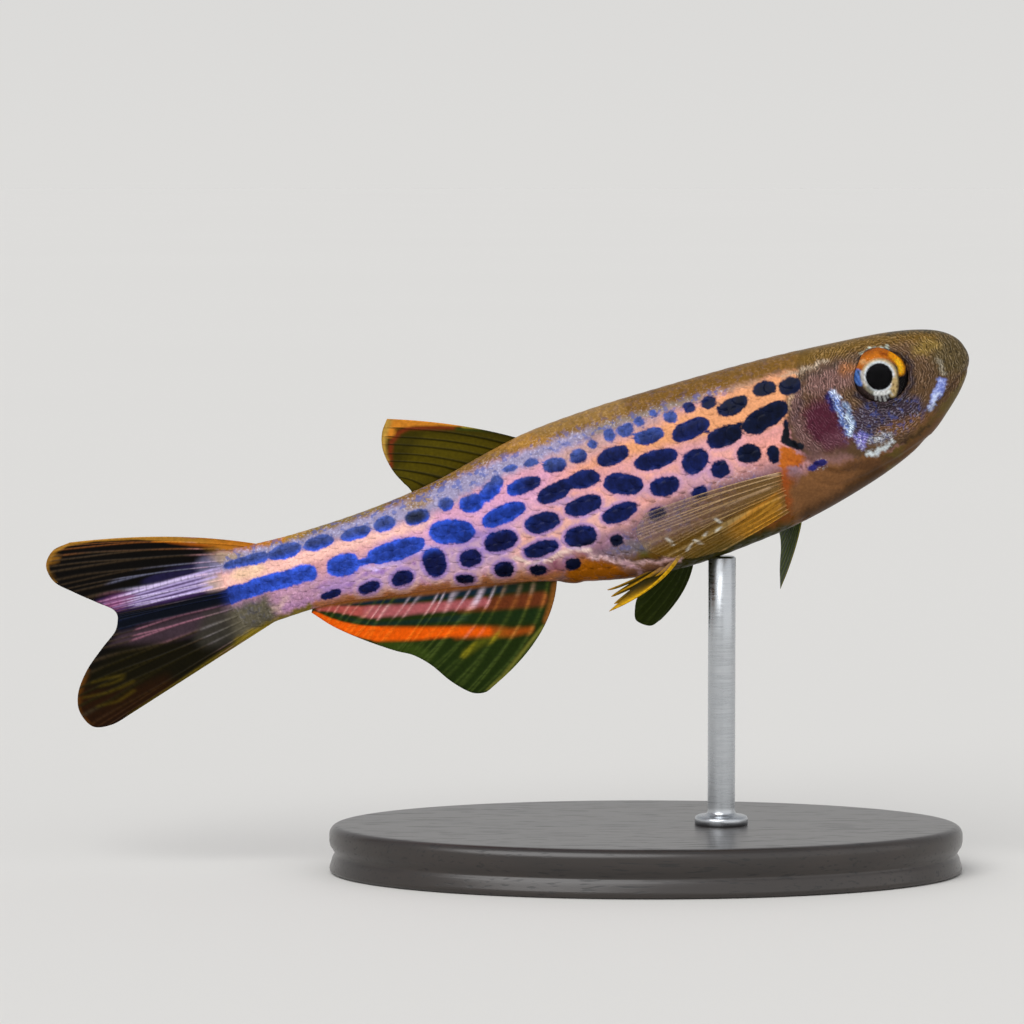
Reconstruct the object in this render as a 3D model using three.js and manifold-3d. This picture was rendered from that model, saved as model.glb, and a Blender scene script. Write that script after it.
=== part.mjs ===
// Spotted zebra danio: a life-size still model of a small swimming fish on a plain display stand.
//
// Units are millimetres and +Z is up. The origin is the middle of the stand's underside.
// The fish faces +X, so its right side looks along -Y.
// In the fish's own frame x runs forward from the snout tip, y to its left and z up its back.
// Side-view points are written [s, h]: s is the distance behind the snout tip, h the height above it.

import * as THREE from "three";
import { mergeVertices } from "three/addons/utils/BufferGeometryUtils.js";
import Module from "manifold-3d";

const wasm = await Module();
wasm.setup();

// Sizes of the whole fish
const PITCH = THREE.MathUtils.degToRad(16.4);
const SNOUT_X = 18.6;
const SNOUT_Z = 30.5;
const BODY_LENGTH = 44.6;
const TAIL_SWAY = 1.5;
const SWAY_START = 24;
const SWAY_LENGTH = 31;
const GAP = 0.3;

// The back and belly lines of the body in side view, and its half width seen from above
const BACK_LINE = [
  [0, -0.45], [0.25, 0.5], [1, 1.3], [2, 1.85], [4, 2.33], [7, 2.62], [12, 2.92], [18, 3.0],
  [22, 2.95], [26, 2.66], [28, 2.3], [32, 1.42], [36, 0.95], [41, 0.8], [44.6, 0.98],
];
const BELLY_LINE = [
  [0, -0.85], [0.3, -1.35], [1, -2.15], [2, -3.1], [3, -3.92], [5, -5.0], [8, -6.03], [12, -6.95],
  [15, -7.33], [19, -7.57], [22, -7.35], [25, -6.72], [28, -5.85], [32, -5.0], [36, -4.38], [39.5, -3.84],
  [42, -3.85], [44.6, -4.02],
];
const HALF_WIDTH = [
  [0, 0.35], [0.3, 0.9], [1, 1.4], [2, 1.82], [4, 2.32], [6, 2.58], [9, 2.82], [13, 3.02],
  [17, 3.05], [21, 2.92], [25, 2.56], [29, 2.1], [34, 1.6], [39, 1.22], [44.6, 0.72],
];
const WIDEST_LIFT = 0.06;
const BACK_SQUARENESS = 2.3;
const HEAD_SQUARENESS = 2.7;
const BELLY_SQUARENESS = 2.05;
const HEAD_LENGTH = 11;

// How finely the body is drawn: points round it, and the steps between its sections
const AROUND = 28;
const FIRST_SECTION = 0.04;
const SNOUT_STEP = 0.3;
const HEAD_STEP = 0.75;
const BODY_STEP = 1.25;

// Where the body is parted, and the mouth
const NECK_SEAM = [[10.3, 4.2], [10.2, 1], [9.7, -3], [9.3, -5], [8.8, -8]];
const VENT_SEAM = [[26.4, 4.2], [26.0, 0], [25.8, -3.5], [25.6, -8]];
const MOUTH_LINE = [[-0.6, -0.62], [0.5, -1.2], [1.9, -2.15], [3.3, -2.95]];
const JAW_SEAM = [[3.3, -2.95], [3.9, -3.9], [4.5, -6.2]];
const LIP_RADIUS = 0.3;
const LIP_SINK = 0.135;
const LIP_FRONT = [0.32, -1.0];

// Gill covers, eyes and nostrils, on both sides
const GILL_COVER = [
  [8.5, 0.55], [9.7, 0.42], [10.8, -0.6], [11.25, -1.9], [10.75, -3.2], [9.5, -4.4],
  [8.2, -5.0], [7.1, -4.3], [7.35, -2.6], [7.75, -0.8],
];
const COVER_RISE = 0.14;
const COVER_DEPTH = 0.55;
const EYE = { s: 5.25, h: -0.05, y: 1.82, radius: 1.62, bulge: 1.02 };
const EYE_FORWARD = THREE.MathUtils.degToRad(9);
const EYE_UP = THREE.MathUtils.degToRad(7);
const EYE_RIM = 0.2;
const EYE_RIM_OUT = 0.43;
const NOSTRILS = [[2.05, 0.78], [2.6, 0.98]];
const NOSTRIL_RADIUS = 0.19;
const NOSTRIL_OUT = 0.02;

// Fins: half thicknesses, and how high the rays stand in the membrane
const MEMBRANE = 0.26;
const RAY_RISE = 0.1;
const TIP_THINNING = 0.55;
const FIN_ROWS = 7;

// The stand
const BASE_LENGTH = 37;
const BASE_WIDTH = 23;
const BASE_HEIGHT = 2.8;
const BASE_BEVEL = 0.4;
const ROD_DIAMETER = 1.6;
const ROD_AT = 17;
const ROD_SOCKET = 1.6;

// A smooth height along the body through a few [s, value] points; the root of s rounds the snout
function alongBody(points) {
  const places = points.map(([s]) => Math.sqrt(s));
  const values = points.map(([, value]) => value);
  const curve = new THREE.CubicInterpolant(places, values, 1);
  return (s) => curve.evaluate(Math.sqrt(THREE.MathUtils.clamp(s, 0, BODY_LENGTH)))[0];
}

const backHeight = alongBody(BACK_LINE);
const bellyHeight = alongBody(BELLY_LINE);
const halfWidth = alongBody(HALF_WIDTH);

// How far the body's middle plane bends to the left at s, as in a slow tail beat
function sway(s) {
  const share = Math.max(0, (s - SWAY_START) / SWAY_LENGTH);
  return TAIL_SWAY * share * share;
}

// The cross-section at s, grown outwards by some millimetres: a superellipse, squarer above on the head
function section(s, grow = 0) {
  const top = backHeight(s) + grow;
  const bottom = bellyHeight(s) - grow;
  const headShare = THREE.MathUtils.smoothstep(s, HEAD_LENGTH * 0.6, HEAD_LENGTH * 1.6);
  return {
    width: Math.max(halfWidth(s) + grow, 0.05),
    middle: (top + bottom) / 2 + WIDEST_LIFT * (top - bottom),
    top,
    bottom,
    above: THREE.MathUtils.lerp(HEAD_SQUARENESS, BACK_SQUARENESS, headShare),
    below: BELLY_SQUARENESS,
  };
}

// The body's half width at a place in side view, zero outside it
function widthAt(s, h) {
  const { width, middle, top, bottom, above, below } = section(s);
  const reach = h > middle ? (h - middle) / (top - middle) : (middle - h) / (middle - bottom);
  const power = h > middle ? above : below;
  return reach >= 1 ? 0 : width * (1 - reach ** power) ** (1 / power);
}

// The height of the belly's surface beside the middle plane
function bellyAt(s, y) {
  const { width, middle, bottom, below } = section(s);
  return middle - (middle - bottom) * (1 - (Math.abs(y) / width) ** below) ** (1 / below);
}

// A side-view place and a distance to the left, as a point in the fish's frame
function place(s, h, y = 0) {
  return new THREE.Vector3(-s, y + sway(s), h);
}

// Solids: a closed three.js geometry as a manifold-3d solid, and back
function solid(geometry) {
  const bare = geometry.clone();
  bare.deleteAttribute("normal");
  bare.deleteAttribute("uv");
  const merged = mergeVertices(bare, 1e-4);
  return new wasm.Manifold(
    new wasm.Mesh({
      numProp: 3,
      vertProperties: new Float32Array(merged.attributes.position.array),
      triVerts: new Uint32Array(merged.index.array),
    }),
  );
}

function geometryOf(made) {
  const { vertProperties, triVerts } = made.getMesh();
  const geometry = new THREE.BufferGeometry();
  geometry.setAttribute("position", new THREE.BufferAttribute(vertProperties, 3));
  geometry.setIndex(new THREE.BufferAttribute(triVerts, 1));
  return geometry;
}

// The largest closed piece of a solid, which leaves out any loose scrap of a cut
function largest(made) {
  return made.decompose().reduce((most, piece) => (piece.volume() > most.volume() ? piece : most));
}

// A closed surface from rings of points, with a fan at each end
function loft(rings) {
  const count = rings[0].length;
  const points = rings.flat();
  const faces = [];
  for (let ring = 0; ring + 1 < rings.length; ring += 1) {
    for (let at = 0; at < count; at += 1) {
      const a = ring * count + at;
      const b = ring * count + ((at + 1) % count);
      faces.push(a, a + count, b, b, a + count, b + count);
    }
  }
  const last = (rings.length - 1) * count;
  for (let at = 1; at + 1 < count; at += 1) {
    faces.push(0, at, at + 1, last, last + at + 1, last + at);
  }
  const geometry = new THREE.BufferGeometry().setFromPoints(points);
  geometry.setIndex(faces);
  return geometry;
}

// Stations down the body, closer together on the snout and head
function stations(first, last) {
  const made = [];
  const stepAfter = (s) => {
    if (s < 1) return SNOUT_STEP;
    return s < HEAD_LENGTH ? HEAD_STEP : BODY_STEP;
  };
  for (let s = first; s < last - SNOUT_STEP; s += stepAfter(s)) {
    made.push(s);
  }
  return [...made, last];
}

// The whole body as one solid, grown by some millimetres all round
function bodySolid(grow = 0) {
  const places = stations(FIRST_SECTION, BODY_LENGTH);
  const ends = new Map([[FIRST_SECTION, -grow], [BODY_LENGTH, grow]]);
  const rings = places.map((s) => {
    const { width, middle, top, bottom, above, below } = section(s, grow);
    const end = ends.get(s) ?? 0;
    return Array.from({ length: AROUND }, (_, step) => {
      const turn = (2 * Math.PI * step) / AROUND;
      const side = Math.cos(turn);
      const rise = Math.sin(turn);
      const power = 2 / (rise >= 0 ? above : below);
      const reach = rise >= 0 ? top - middle : middle - bottom;
      const y = Math.sign(side) * width * Math.abs(side) ** power;
      const h = middle + Math.sign(rise) * reach * Math.abs(rise) ** power;
      return place(s, h, y).add(new THREE.Vector3(-end, 0, 0));
    });
  });
  return solid(loft(rings));
}

// A side-view outline run right through the body from left to right
function throughBody(outline, halfDepth = 9) {
  const shape = new THREE.Shape(outline.map(([s, h]) => new THREE.Vector2(-s, h)));
  const geometry = new THREE.ExtrudeGeometry(shape, { depth: 2 * halfDepth, bevelEnabled: false });
  geometry.rotateX(Math.PI / 2);
  geometry.translate(0, halfDepth, 0);
  return solid(geometry);
}

// Evenly spaced points of the smooth side-view curve through a few points, moved aside by an offset
function sideCurve(points, offset = 0, closed = false, steps = 24) {
  const curve = new THREE.CatmullRomCurve3(
    points.map(([s, h]) => new THREE.Vector3(s, h, 0)),
    closed,
    "centripetal",
  );
  const count = closed ? steps : steps + 1;
  return Array.from({ length: count }, (_, step) => {
    const at = curve.getPoint(step / steps);
    const along = curve.getTangent(step / steps);
    return [at.x - along.y * offset, at.y + along.x * offset];
  });
}

// A cut of one gap's width along a side-view line, right through the body
function cut(line, steps = 8) {
  const ahead = sideCurve(line, GAP / 2, false, steps);
  const behind = sideCurve(line, -GAP / 2, false, steps).reverse();
  return throughBody([...ahead, ...behind]);
}

// Lips: one cord laid on the skin along the mouth, from corner to corner round the snout
function lips() {
  const oneSide = sideCurve(MOUTH_LINE.slice(1), 0, false, 6).reverse();
  const front = place(...LIP_FRONT);
  const right = oneSide.map(([s, h]) => place(s, h, LIP_SINK - widthAt(s, h)));
  const left = oneSide.map(([s, h]) => place(s, h, widthAt(s, h) - LIP_SINK)).reverse();
  const path = new THREE.CatmullRomCurve3([...right, front, ...left], false, "centripetal");
  const outline = new THREE.Shape().absarc(0, 0, LIP_RADIUS, 0, 2 * Math.PI);
  const round = { steps: 20, curveSegments: 3, extrudePath: path, bevelEnabled: false };
  return solid(new THREE.ExtrudeGeometry(outline, round));
}

// An eyeball's place: side is +1 on the left and -1 on the right
function eyeMatrix(side) {
  const turn = new THREE.Euler(side * EYE_UP, 0, -side * EYE_FORWARD, "ZYX");
  const at = place(EYE.s, EYE.h, side * EYE.y);
  const matrix = new THREE.Matrix4().makeRotationFromEuler(turn);
  return matrix.setPosition(at);
}

// A flattened ball, grown for the socket that holds it
function eyeball(side, grow = 0) {
  const ball = new THREE.SphereGeometry(1, 20, 10);
  ball.scale(EYE.radius + grow, EYE.bulge + grow, EYE.radius + grow);
  return solid(ball.applyMatrix4(eyeMatrix(side)));
}

// The raised rim round an eye socket
function eyeRim(side) {
  const ring = new THREE.TorusGeometry(EYE.radius + GAP, EYE_RIM, 6, 22);
  ring.rotateX(Math.PI / 2);
  ring.translate(0, side * EYE_RIM_OUT, 0);
  return solid(ring.applyMatrix4(eyeMatrix(side)));
}

// Nostrils: two round pits on each side of the snout
function nostrils(side) {
  return NOSTRILS.map(([s, h]) => {
    const pit = new THREE.SphereGeometry(NOSTRIL_RADIUS, 8, 6);
    const at = place(s, h, side * (widthAt(s, h) + NOSTRIL_OUT));
    return solid(pit.translate(at.x, at.y, at.z));
  });
}

// A block over the right or left half of the fish, to keep one side of a cut
function half(side) {
  const reach = 2 * BODY_LENGTH;
  const block = new THREE.BoxGeometry(reach, reach, reach);
  return solid(block.translate(-BODY_LENGTH / 2, side * (reach / 2 + GAP), 0));
}

// Gill covers: a plate of the skin's own curve, standing a little proud in a recess
const coverOutline = (grow) => throughBody(sideCurve(GILL_COVER, grow, true, 22));

function gillCover(side) {
  const plate = bodySolid(COVER_RISE).subtract(bodySolid(-COVER_DEPTH));
  return largest(plate.intersect(coverOutline(0)).intersect(half(side)));
}

const coverRecess = () => coverOutline(GAP).subtract(bodySolid(-COVER_DEPTH - GAP));

// A fin: rays run from a root line to a margin, each bent by a bow, with the membrane between them.
// Points are [s, h] or [s, h, y]; the two outer rays are its edges.
function fin({ root, margin, rays, bow = [0, 0], lean = 0.45, flat = true }) {
  const curveOf = (line) => {
    const points = line.map(([s, h, y = 0]) => new THREE.Vector3(s, h, y));
    return new THREE.CatmullRomCurve3(points, false, "centripetal");
  };
  const rootCurve = curveOf(root);
  const marginCurve = curveOf(margin);
  const columns = 2 * (rays - 1);
  const pointAt = (u, v) => {
    const from = rootCurve.getPoint(v);
    const to = marginCurve.getPoint(v);
    const along = to.clone().sub(from);
    const aside = new THREE.Vector3(along.y, -along.x, 0).normalize();
    const bent = from.clone().addScaledVector(along, lean);
    bent.addScaledVector(aside, THREE.MathUtils.lerp(bow[0], bow[1], v));
    const at = new THREE.QuadraticBezierCurve3(from, bent, to).getPoint(u);
    return place(at.x, at.y, at.z);
  };
  const normalAt = (u, v) => {
    if (flat) return new THREE.Vector3(0, 1, 0);
    const step = 0.02;
    const across = pointAt(u, Math.min(v + step, 1)).sub(pointAt(u, Math.max(v - step, 0)));
    const down = pointAt(Math.min(u + step, 1), v).sub(pointAt(Math.max(u - step, 0), v));
    return across.cross(down).normalize();
  };
  const faces = [[], []];
  for (let row = 0; row <= FIN_ROWS; row += 1) {
    for (let column = 0; column <= columns; column += 1) {
      const u = row / FIN_ROWS;
      const v = column / columns;
      const at = pointAt(u, v);
      const raised = column % 2 === 0 ? RAY_RISE : 0;
      const thick = (MEMBRANE + raised) * (1 - TIP_THINNING * u ** 3);
      const out = normalAt(u, v).multiplyScalar(thick);
      faces[0].push(at.clone().add(out));
      faces[1].push(at.clone().sub(out));
    }
  }
  return solid(sheet(faces, FIN_ROWS, columns));
}

// A closed sheet from two like grids of points, cut into triangles alike on both faces
function sheet([front, back], rows, columns) {
  const wide = columns + 1;
  const behind = front.length;
  const faces = [];
  for (let row = 0; row < rows; row += 1) {
    for (let column = 0; column < columns; column += 1) {
      const a = row * wide + column;
      const [b, c, d] = [a + 1, a + wide, a + wide + 1];
      faces.push(a, b, c, b, d, c);
      faces.push(behind + a, behind + c, behind + b, behind + b, behind + c, behind + d);
    }
  }
  const wall = (a, b) => faces.push(a, behind + a, b, b, behind + a, behind + b);
  for (let column = 0; column < columns; column += 1) {
    wall(column, column + 1);
    wall(rows * wide + column + 1, rows * wide + column);
  }
  for (let row = 0; row < rows; row += 1) {
    wall((row + 1) * wide, row * wide);
    wall(row * wide + columns, (row + 1) * wide + columns);
  }
  const geometry = new THREE.BufferGeometry().setFromPoints([...front, ...back]);
  geometry.setIndex(faces);
  const made = solid(geometry);
  if (made.volume() > 0) return geometry;
  const turned = [];
  for (let at = 0; at < faces.length; at += 3) {
    turned.push(faces[at], faces[at + 2], faces[at + 1]);
  }
  geometry.setIndex(turned);
  return geometry;
}

// Fins of the middle plane
const DORSAL_FIN = {
  root: [[25.6, 1.9], [27.6, 1.6], [30, 1.1], [33.3, 0.6]],
  margin: [[33.45, 5.68], [33.95, 5.0], [34.18, 4.2], [34.15, 3.4], [33.95, 2.6], [33.55, 1.75]],
  rays: 9,
  bow: [-0.6, -0.3],
};
const ANAL_FIN = {
  root: [[26.5, -5.8], [30, -4.9], [34, -4.3], [37, -3.6], [40.6, -3.1]],
  margin: [
    [32.6, -11.15], [33.7, -10.7], [34.5, -9.55], [35.3, -8.5], [36.6, -7.45], [38.2, -6.4],
    [39.6, -5.35], [40.9, -3.95],
  ],
  rays: 14,
  bow: [1.85, 0.25],
  lean: 0.36,
};
const UPPER_LOBE = {
  root: [[42.4, 0.6], [43.4, 0.35], [44.1, -0.3], [44.1, -1.3]],
  margin: [
    [53.35, 3.93], [54.46, 3.73], [55.1, 3.0], [54.95, 2.0], [54.05, 1.1], [52.84, 0.1],
    [52.0, -0.6], [51.88, -0.95],
  ],
  rays: 9,
  bow: [-0.85, -0.05],
};
const LOWER_LOBE = {
  root: [[44.1, -1.72], [44.1, -2.6], [43.4, -3.45], [42.4, -3.65]],
  margin: [
    [51.95, -1.25], [52.24, -1.77], [53.3, -2.55], [54.61, -3.61], [55.5, -4.8], [55.7, -5.8],
    [55.2, -6.85], [54.1, -7.05], [52.8, -6.73],
  ],
  rays: 9,
  bow: [-0.05, 0],
};

// Paired fins: rooted in the flank or belly, so their roots are worked out from the body's width.
// The right pectoral lies back over the flank; the left is held out and down.
const onFlank = (side, s, h, inside) => [s, h, side * (widthAt(s, h) - inside)];
const onBelly = (s, y, inside) => [s, bellyAt(s, y) + inside, y];
const beside = (s, h, out) => [s, h, -(0.4 * widthAt(s, h) + 0.6 * halfWidth(s) + out)];

const PECTORAL_RIGHT = {
  root: [onFlank(-1, 11.85, -3.7, 0.3), onFlank(-1, 12.1, -4.9, 0.3), onFlank(-1, 12.4, -6.0, 0.3)],
  margin: [
    beside(20.6, -3.55, 0.9), beside(21.4, -4.4, 1.1), beside(21.2, -5.5, 1.2),
    beside(20.1, -6.35, 1.2), beside(18.7, -6.85, 1.0), beside(16.9, -6.95, 0.8),
  ],
  rays: 11,
  bow: [-0.35, 0.1],
  flat: false,
};
const PECTORAL_LEFT = {
  root: [onFlank(1, 11.9, -3.9, 0.5), onFlank(1, 12.1, -4.9, 0.5), onFlank(1, 12.4, -5.9, 0.5)],
  margin: [
    [14.25, -10.2, 7.6], [14.1, -9.5, 8.3], [13.85, -8.7, 8.3], [13.7, -7.9, 7.7],
    [13.65, -7.3, 6.4],
  ],
  rays: 11,
  bow: [1.25, 0.3],
  lean: 0.38,
  flat: false,
};
const PELVIC_RIGHT = {
  root: [onBelly(19.0, -1.5, 0.5), onBelly(19.6, -1.0, 0.5), onBelly(20.3, -0.55, 0.5)],
  margin: [
    [24.2, -8.5, -3.0], [24.1, -8.4, -2.5], [23.9, -8.15, -1.9], [23.8, -7.85, -1.4],
    [23.6, -7.6, -0.9],
  ],
  rays: 7,
  bow: [1.0, 0.1],
  flat: false,
};
const PELVIC_LEFT = {
  root: [onBelly(18.6, 1.5, 0.5), onBelly(19.3, 1.0, 0.5), onBelly(20.2, 0.55, 0.5)],
  margin: [
    [21.6, -10.25, 2.3], [22.4, -10.38, 2.3], [23.05, -9.9, 2.1], [22.9, -9.1, 1.8],
    [22.4, -8.3, 1.3],
  ],
  rays: 7,
  bow: [1.0, 0.1],
  flat: false,
};

// Finishes
const finish = (color, roughness, metalness = 0) =>
  new THREE.MeshStandardMaterial({ color, roughness, metalness });
const SKIN = finish("#c9909a", 0.45);
const HEAD_SKIN = finish("#6a4f3a", 0.5);
const COVER_SKIN = finish("#5a3446", 0.4, 0.1);
const EYE_GLOSS = finish("#16130f", 0.12);
const TAIL_FIN = finish("#3a3a2c", 0.5);
const OLIVE_FIN = finish("#6b5c14", 0.5);
const ORANGE_FIN = finish("#d9620f", 0.5);
const GOLD_FIN = finish("#a98438", 0.5);
const EBONISED = finish("#1d1a18", 0.5);
const STEEL = finish("#b9bcc0", 0.3, 1);

// Assembly
const fish = new THREE.Group();
fish.rotation.y = -PITCH;
fish.position.set(SNOUT_X, 0, SNOUT_Z);
fish.updateMatrix();
const model = new THREE.Group();
model.add(fish);

function add(group, name, made, material) {
  const mesh = new THREE.Mesh(geometryOf(made), material);
  mesh.name = name;
  group.add(mesh);
}

// Head, lower jaw, trunk and tail stem are one body, parted by thin cuts
function addBody() {
  let body = bodySolid().add(lips());
  for (const side of [1, -1]) {
    body = body.add(eyeRim(side)).subtract(eyeball(side, GAP));
    body = nostrils(side).reduce((made, pit) => made.subtract(pit), body);
  }
  for (const line of [NECK_SEAM, VENT_SEAM, MOUTH_LINE, JAW_SEAM]) {
    body = body.subtract(cut(line));
  }
  body = body.subtract(coverRecess());
  const names = ["tail_stem", "trunk", "head", "lower_jaw"];
  const pieces = body.decompose().sort((a, b) => b.volume() - a.volume()).slice(0, names.length);
  pieces.sort((a, b) => a.boundingBox().max[0] - b.boundingBox().max[0]);
  const [front, next] = [pieces[3], pieces[2]];
  const jawFirst = front.volume() < next.volume();
  const [head, jaw] = jawFirst ? [next, front] : [front, next];
  const ordered = [pieces[0], pieces[1], head, jaw];
  const skins = [SKIN, SKIN, HEAD_SKIN, HEAD_SKIN];
  ordered.forEach((piece, at) => add(fish, names[at], piece, skins[at]));
}

// Each side's gill cover and eye
function addSides() {
  for (const [side, word] of [[1, "left"], [-1, "right"]]) {
    add(fish, `gill_cover_${word}`, gillCover(side), COVER_SKIN);
    add(fish, `eye_${word}`, eyeball(side), EYE_GLOSS);
  }
}

// Fins keep one gap from the body that they grow from
function addFins() {
  const clear = bodySolid(GAP);
  const fins = [
    ["dorsal_fin", DORSAL_FIN, OLIVE_FIN],
    ["anal_fin", ANAL_FIN, ORANGE_FIN],
    ["caudal_fin_upper", UPPER_LOBE, TAIL_FIN],
    ["caudal_fin_lower", LOWER_LOBE, TAIL_FIN],
    ["pectoral_fin_right", PECTORAL_RIGHT, GOLD_FIN],
    ["pectoral_fin_left", PECTORAL_LEFT, GOLD_FIN],
    ["pelvic_fin_right", PELVIC_RIGHT, OLIVE_FIN],
    ["pelvic_fin_left", PELVIC_LEFT, OLIVE_FIN],
  ];
  for (const [name, shape, material] of fins) {
    add(fish, name, largest(fin(shape).subtract(clear)), material);
  }
}

// A flat oval base with a socket, and a rod from it up to one gap under the belly
function addStand() {
  const at = place(ROD_AT, bellyHeight(ROD_AT)).applyMatrix4(fish.matrix);
  const oval = new THREE.Shape();
  oval.absellipse(0, 0, BASE_LENGTH / 2 - BASE_BEVEL, BASE_WIDTH / 2 - BASE_BEVEL, 0, 2 * Math.PI);
  const base = new THREE.ExtrudeGeometry(oval, {
    depth: BASE_HEIGHT - 2 * BASE_BEVEL,
    bevelThickness: BASE_BEVEL,
    bevelSize: BASE_BEVEL,
    bevelSegments: 2,
    curveSegments: 18,
  });
  base.translate(0, 0, BASE_BEVEL);
  const upright = (radius, low, high) => {
    const round = new THREE.CylinderGeometry(radius, radius, high - low, 24);
    return solid(round.rotateX(Math.PI / 2).translate(at.x, 0, (low + high) / 2));
  };
  const radius = ROD_DIAMETER / 2;
  const floor = BASE_HEIGHT - ROD_SOCKET;
  const socket = upright(radius + GAP, floor, BASE_HEIGHT + 1);
  const clear = solid(geometryOf(bodySolid(GAP)).applyMatrix4(fish.matrix));
  const rod = upright(radius, floor + GAP, at.z + 1).subtract(clear);
  add(model, "stand_base", solid(base).subtract(socket), EBONISED);
  add(model, "stand_rod", largest(rod), STEEL);
}

addBody();
addSides();
addFins();
addStand();

export default model;
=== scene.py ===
"""A spotted zebra danio as a life-size museum model on a plain stand.

The fish is described in its own measures, in millimetres: s runs back from the snout tip, h is the height
above the snout's line and y points to the fish's left. FishFrame turns these into the model's frame.
"""

import logging
import math
from collections.abc import Callable
from dataclasses import dataclass, field
from enum import Enum
from functools import partial

import bpy
import numpy as np
from bpy.types import ID, Material, Mesh, Node, NodeSocket, NodeTree, Object
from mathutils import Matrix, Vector


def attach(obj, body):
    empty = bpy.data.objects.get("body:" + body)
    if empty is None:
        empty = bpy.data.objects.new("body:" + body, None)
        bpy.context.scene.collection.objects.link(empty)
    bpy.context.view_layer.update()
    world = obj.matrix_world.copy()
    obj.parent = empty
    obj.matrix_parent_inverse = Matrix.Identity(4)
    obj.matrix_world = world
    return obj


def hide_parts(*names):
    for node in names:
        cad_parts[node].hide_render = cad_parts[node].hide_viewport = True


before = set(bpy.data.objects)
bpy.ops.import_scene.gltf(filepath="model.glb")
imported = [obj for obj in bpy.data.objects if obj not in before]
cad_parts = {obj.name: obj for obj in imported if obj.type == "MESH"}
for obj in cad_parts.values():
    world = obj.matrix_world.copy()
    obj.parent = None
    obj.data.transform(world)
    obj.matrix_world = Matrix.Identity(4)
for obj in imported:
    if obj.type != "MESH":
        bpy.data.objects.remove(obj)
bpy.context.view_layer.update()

LOG = logging.getLogger("zebra_danio")

MM = 0.001
PER_MM = 1000.0
TURN = 2 * math.pi
BODY = "root"
BAKE_MAP = "OFBake"

Array = np.ndarray
Line = tuple[tuple[float, ...], ...]
Triple = tuple[float, float, float]
Signal = Node | NodeSocket | float | bool | str | tuple
Adder = Callable[..., Node]


class Side(Enum):
    """The fish's own left and right."""

    LEFT = 1
    RIGHT = -1


class Chart(Enum):
    """What the marks on a fin are measured in: the fish's side view, or the fin's own length and width."""

    SIDE_VIEW = 0
    OWN = 1


OWN_SIZE = 10.0  # what a fin measures in its own chart, in length and in width


def smooth(low: float, high: float, value: Array) -> Array:
    """Eases from 0 at low to 1 at high."""
    share = np.clip((value - low) / (high - low), 0.0, 1.0)
    return share * share * (3.0 - 2.0 * share)


def hump(value: Array, width: float | Array) -> Array:
    """A soft peak of 1 where the value is 0, so wide on each side."""
    return np.exp(-((value / width) ** 2))


def linear(colour: str) -> Array:
    """The linear red, green and blue of an sRGB hex colour."""
    channels = np.array([int(colour[at : at + 2], 16) for at in (1, 3, 5)]) / 255.0
    return np.where(channels <= 0.04045, channels / 12.92, ((channels + 0.055) / 1.055) ** 2.4)


def opaque(colour: str) -> tuple[float, ...]:
    """A hex colour as a shader socket takes it."""
    return (*linear(colour).tolist(), 1.0)


def along_body(stations: Line, where: Array) -> Array:
    """Reads a smooth profile that is set out on the square root of the distance behind the snout.

    Args:
        stations: Pairs of distance and value.
        where: Distances to read at.

    Returns:
        One value for each distance.
    """
    knots = np.sqrt([station[0] for station in stations])
    values = np.array([station[1] for station in stations])
    at = np.sqrt(np.clip(where, 0.0, stations[-1][0]))
    left = np.clip(np.searchsorted(knots, at, "right") - 1, 0, len(knots) - 2)
    right = left + 1
    before = np.where(left == 0, right, left - 1)
    after = np.where(right == len(knots) - 1, left, np.minimum(right + 1, len(knots) - 1))
    half = (knots[right] - knots[left]) / 2.0
    pull = half / (knots[left] - knots[before])
    push = half / (knots[after] - knots[right])
    p = (at - knots[left]) / (2.0 * half)
    return (
        (-pull * p**3 + 2 * pull * p**2 - pull * p) * values[before]
        + ((1 + pull) * p**3 - (1.5 + 2 * pull) * p**2 + (pull - 0.5) * p + 1) * values[left]
        + (-(1 + push) * p**3 + (1.5 + push) * p**2 + 0.5 * p) * values[right]
        + (push * p**3 - push * p**2) * values[after]
    )


def through(points: Array, place: Array) -> Array:
    """Follows the centripetal curve through a few points.

    Args:
        points: The points, one row each.
        place: Where to read, counted in points from the first.

    Returns:
        One row for each place.
    """
    run = np.vstack([2 * points[0] - points[1], points, 2 * points[-1] - points[-2]])
    first = np.clip(place.astype(int), 0, len(points) - 2)
    t = (place - first)[:, None]
    a, b, c, d = (run[first + step] for step in range(4))
    legs = ((a, b), (b, c), (c, d))
    gap = [np.maximum(np.linalg.norm(q - p, axis=1), 1e-6)[:, None] ** 0.5 for p, q in legs]
    leave = ((b - a) / gap[0] - (c - a) / (gap[0] + gap[1]) + (c - b) / gap[1]) * gap[1]
    meet = ((c - b) / gap[1] - (d - b) / (gap[1] + gap[2]) + (d - c) / gap[2]) * gap[1]
    return b + leave * t + (3 * (c - b) - 2 * leave - meet) * t**2 + (2 * (b - c) + leave + meet) * t**3


@dataclass(frozen=True)
class Blob:
    """An oval mark, with its front end raised by a tilt in degrees."""

    s: float
    h: float
    long: float
    high: float
    tilt: float = 0.0
    power: float = 2.4

    def depth(self, s: Array, h: Array) -> Array:
        """How far inside its edge each place lies, in millimetres."""
        turn = math.radians(self.tilt)
        ds, dh = s - self.s, h - self.h
        along = ds * math.cos(turn) - dh * math.sin(turn)
        across = ds * math.sin(turn) + dh * math.cos(turn)
        share = np.abs(along / self.long) ** self.power + np.abs(across / self.high) ** self.power
        share = np.maximum(share, 1e-9) ** (1.0 / self.power)
        reach = np.where(share > 0.2, np.hypot(along, across) / share, min(self.long, self.high))
        return (1.0 - share) * reach


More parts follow.
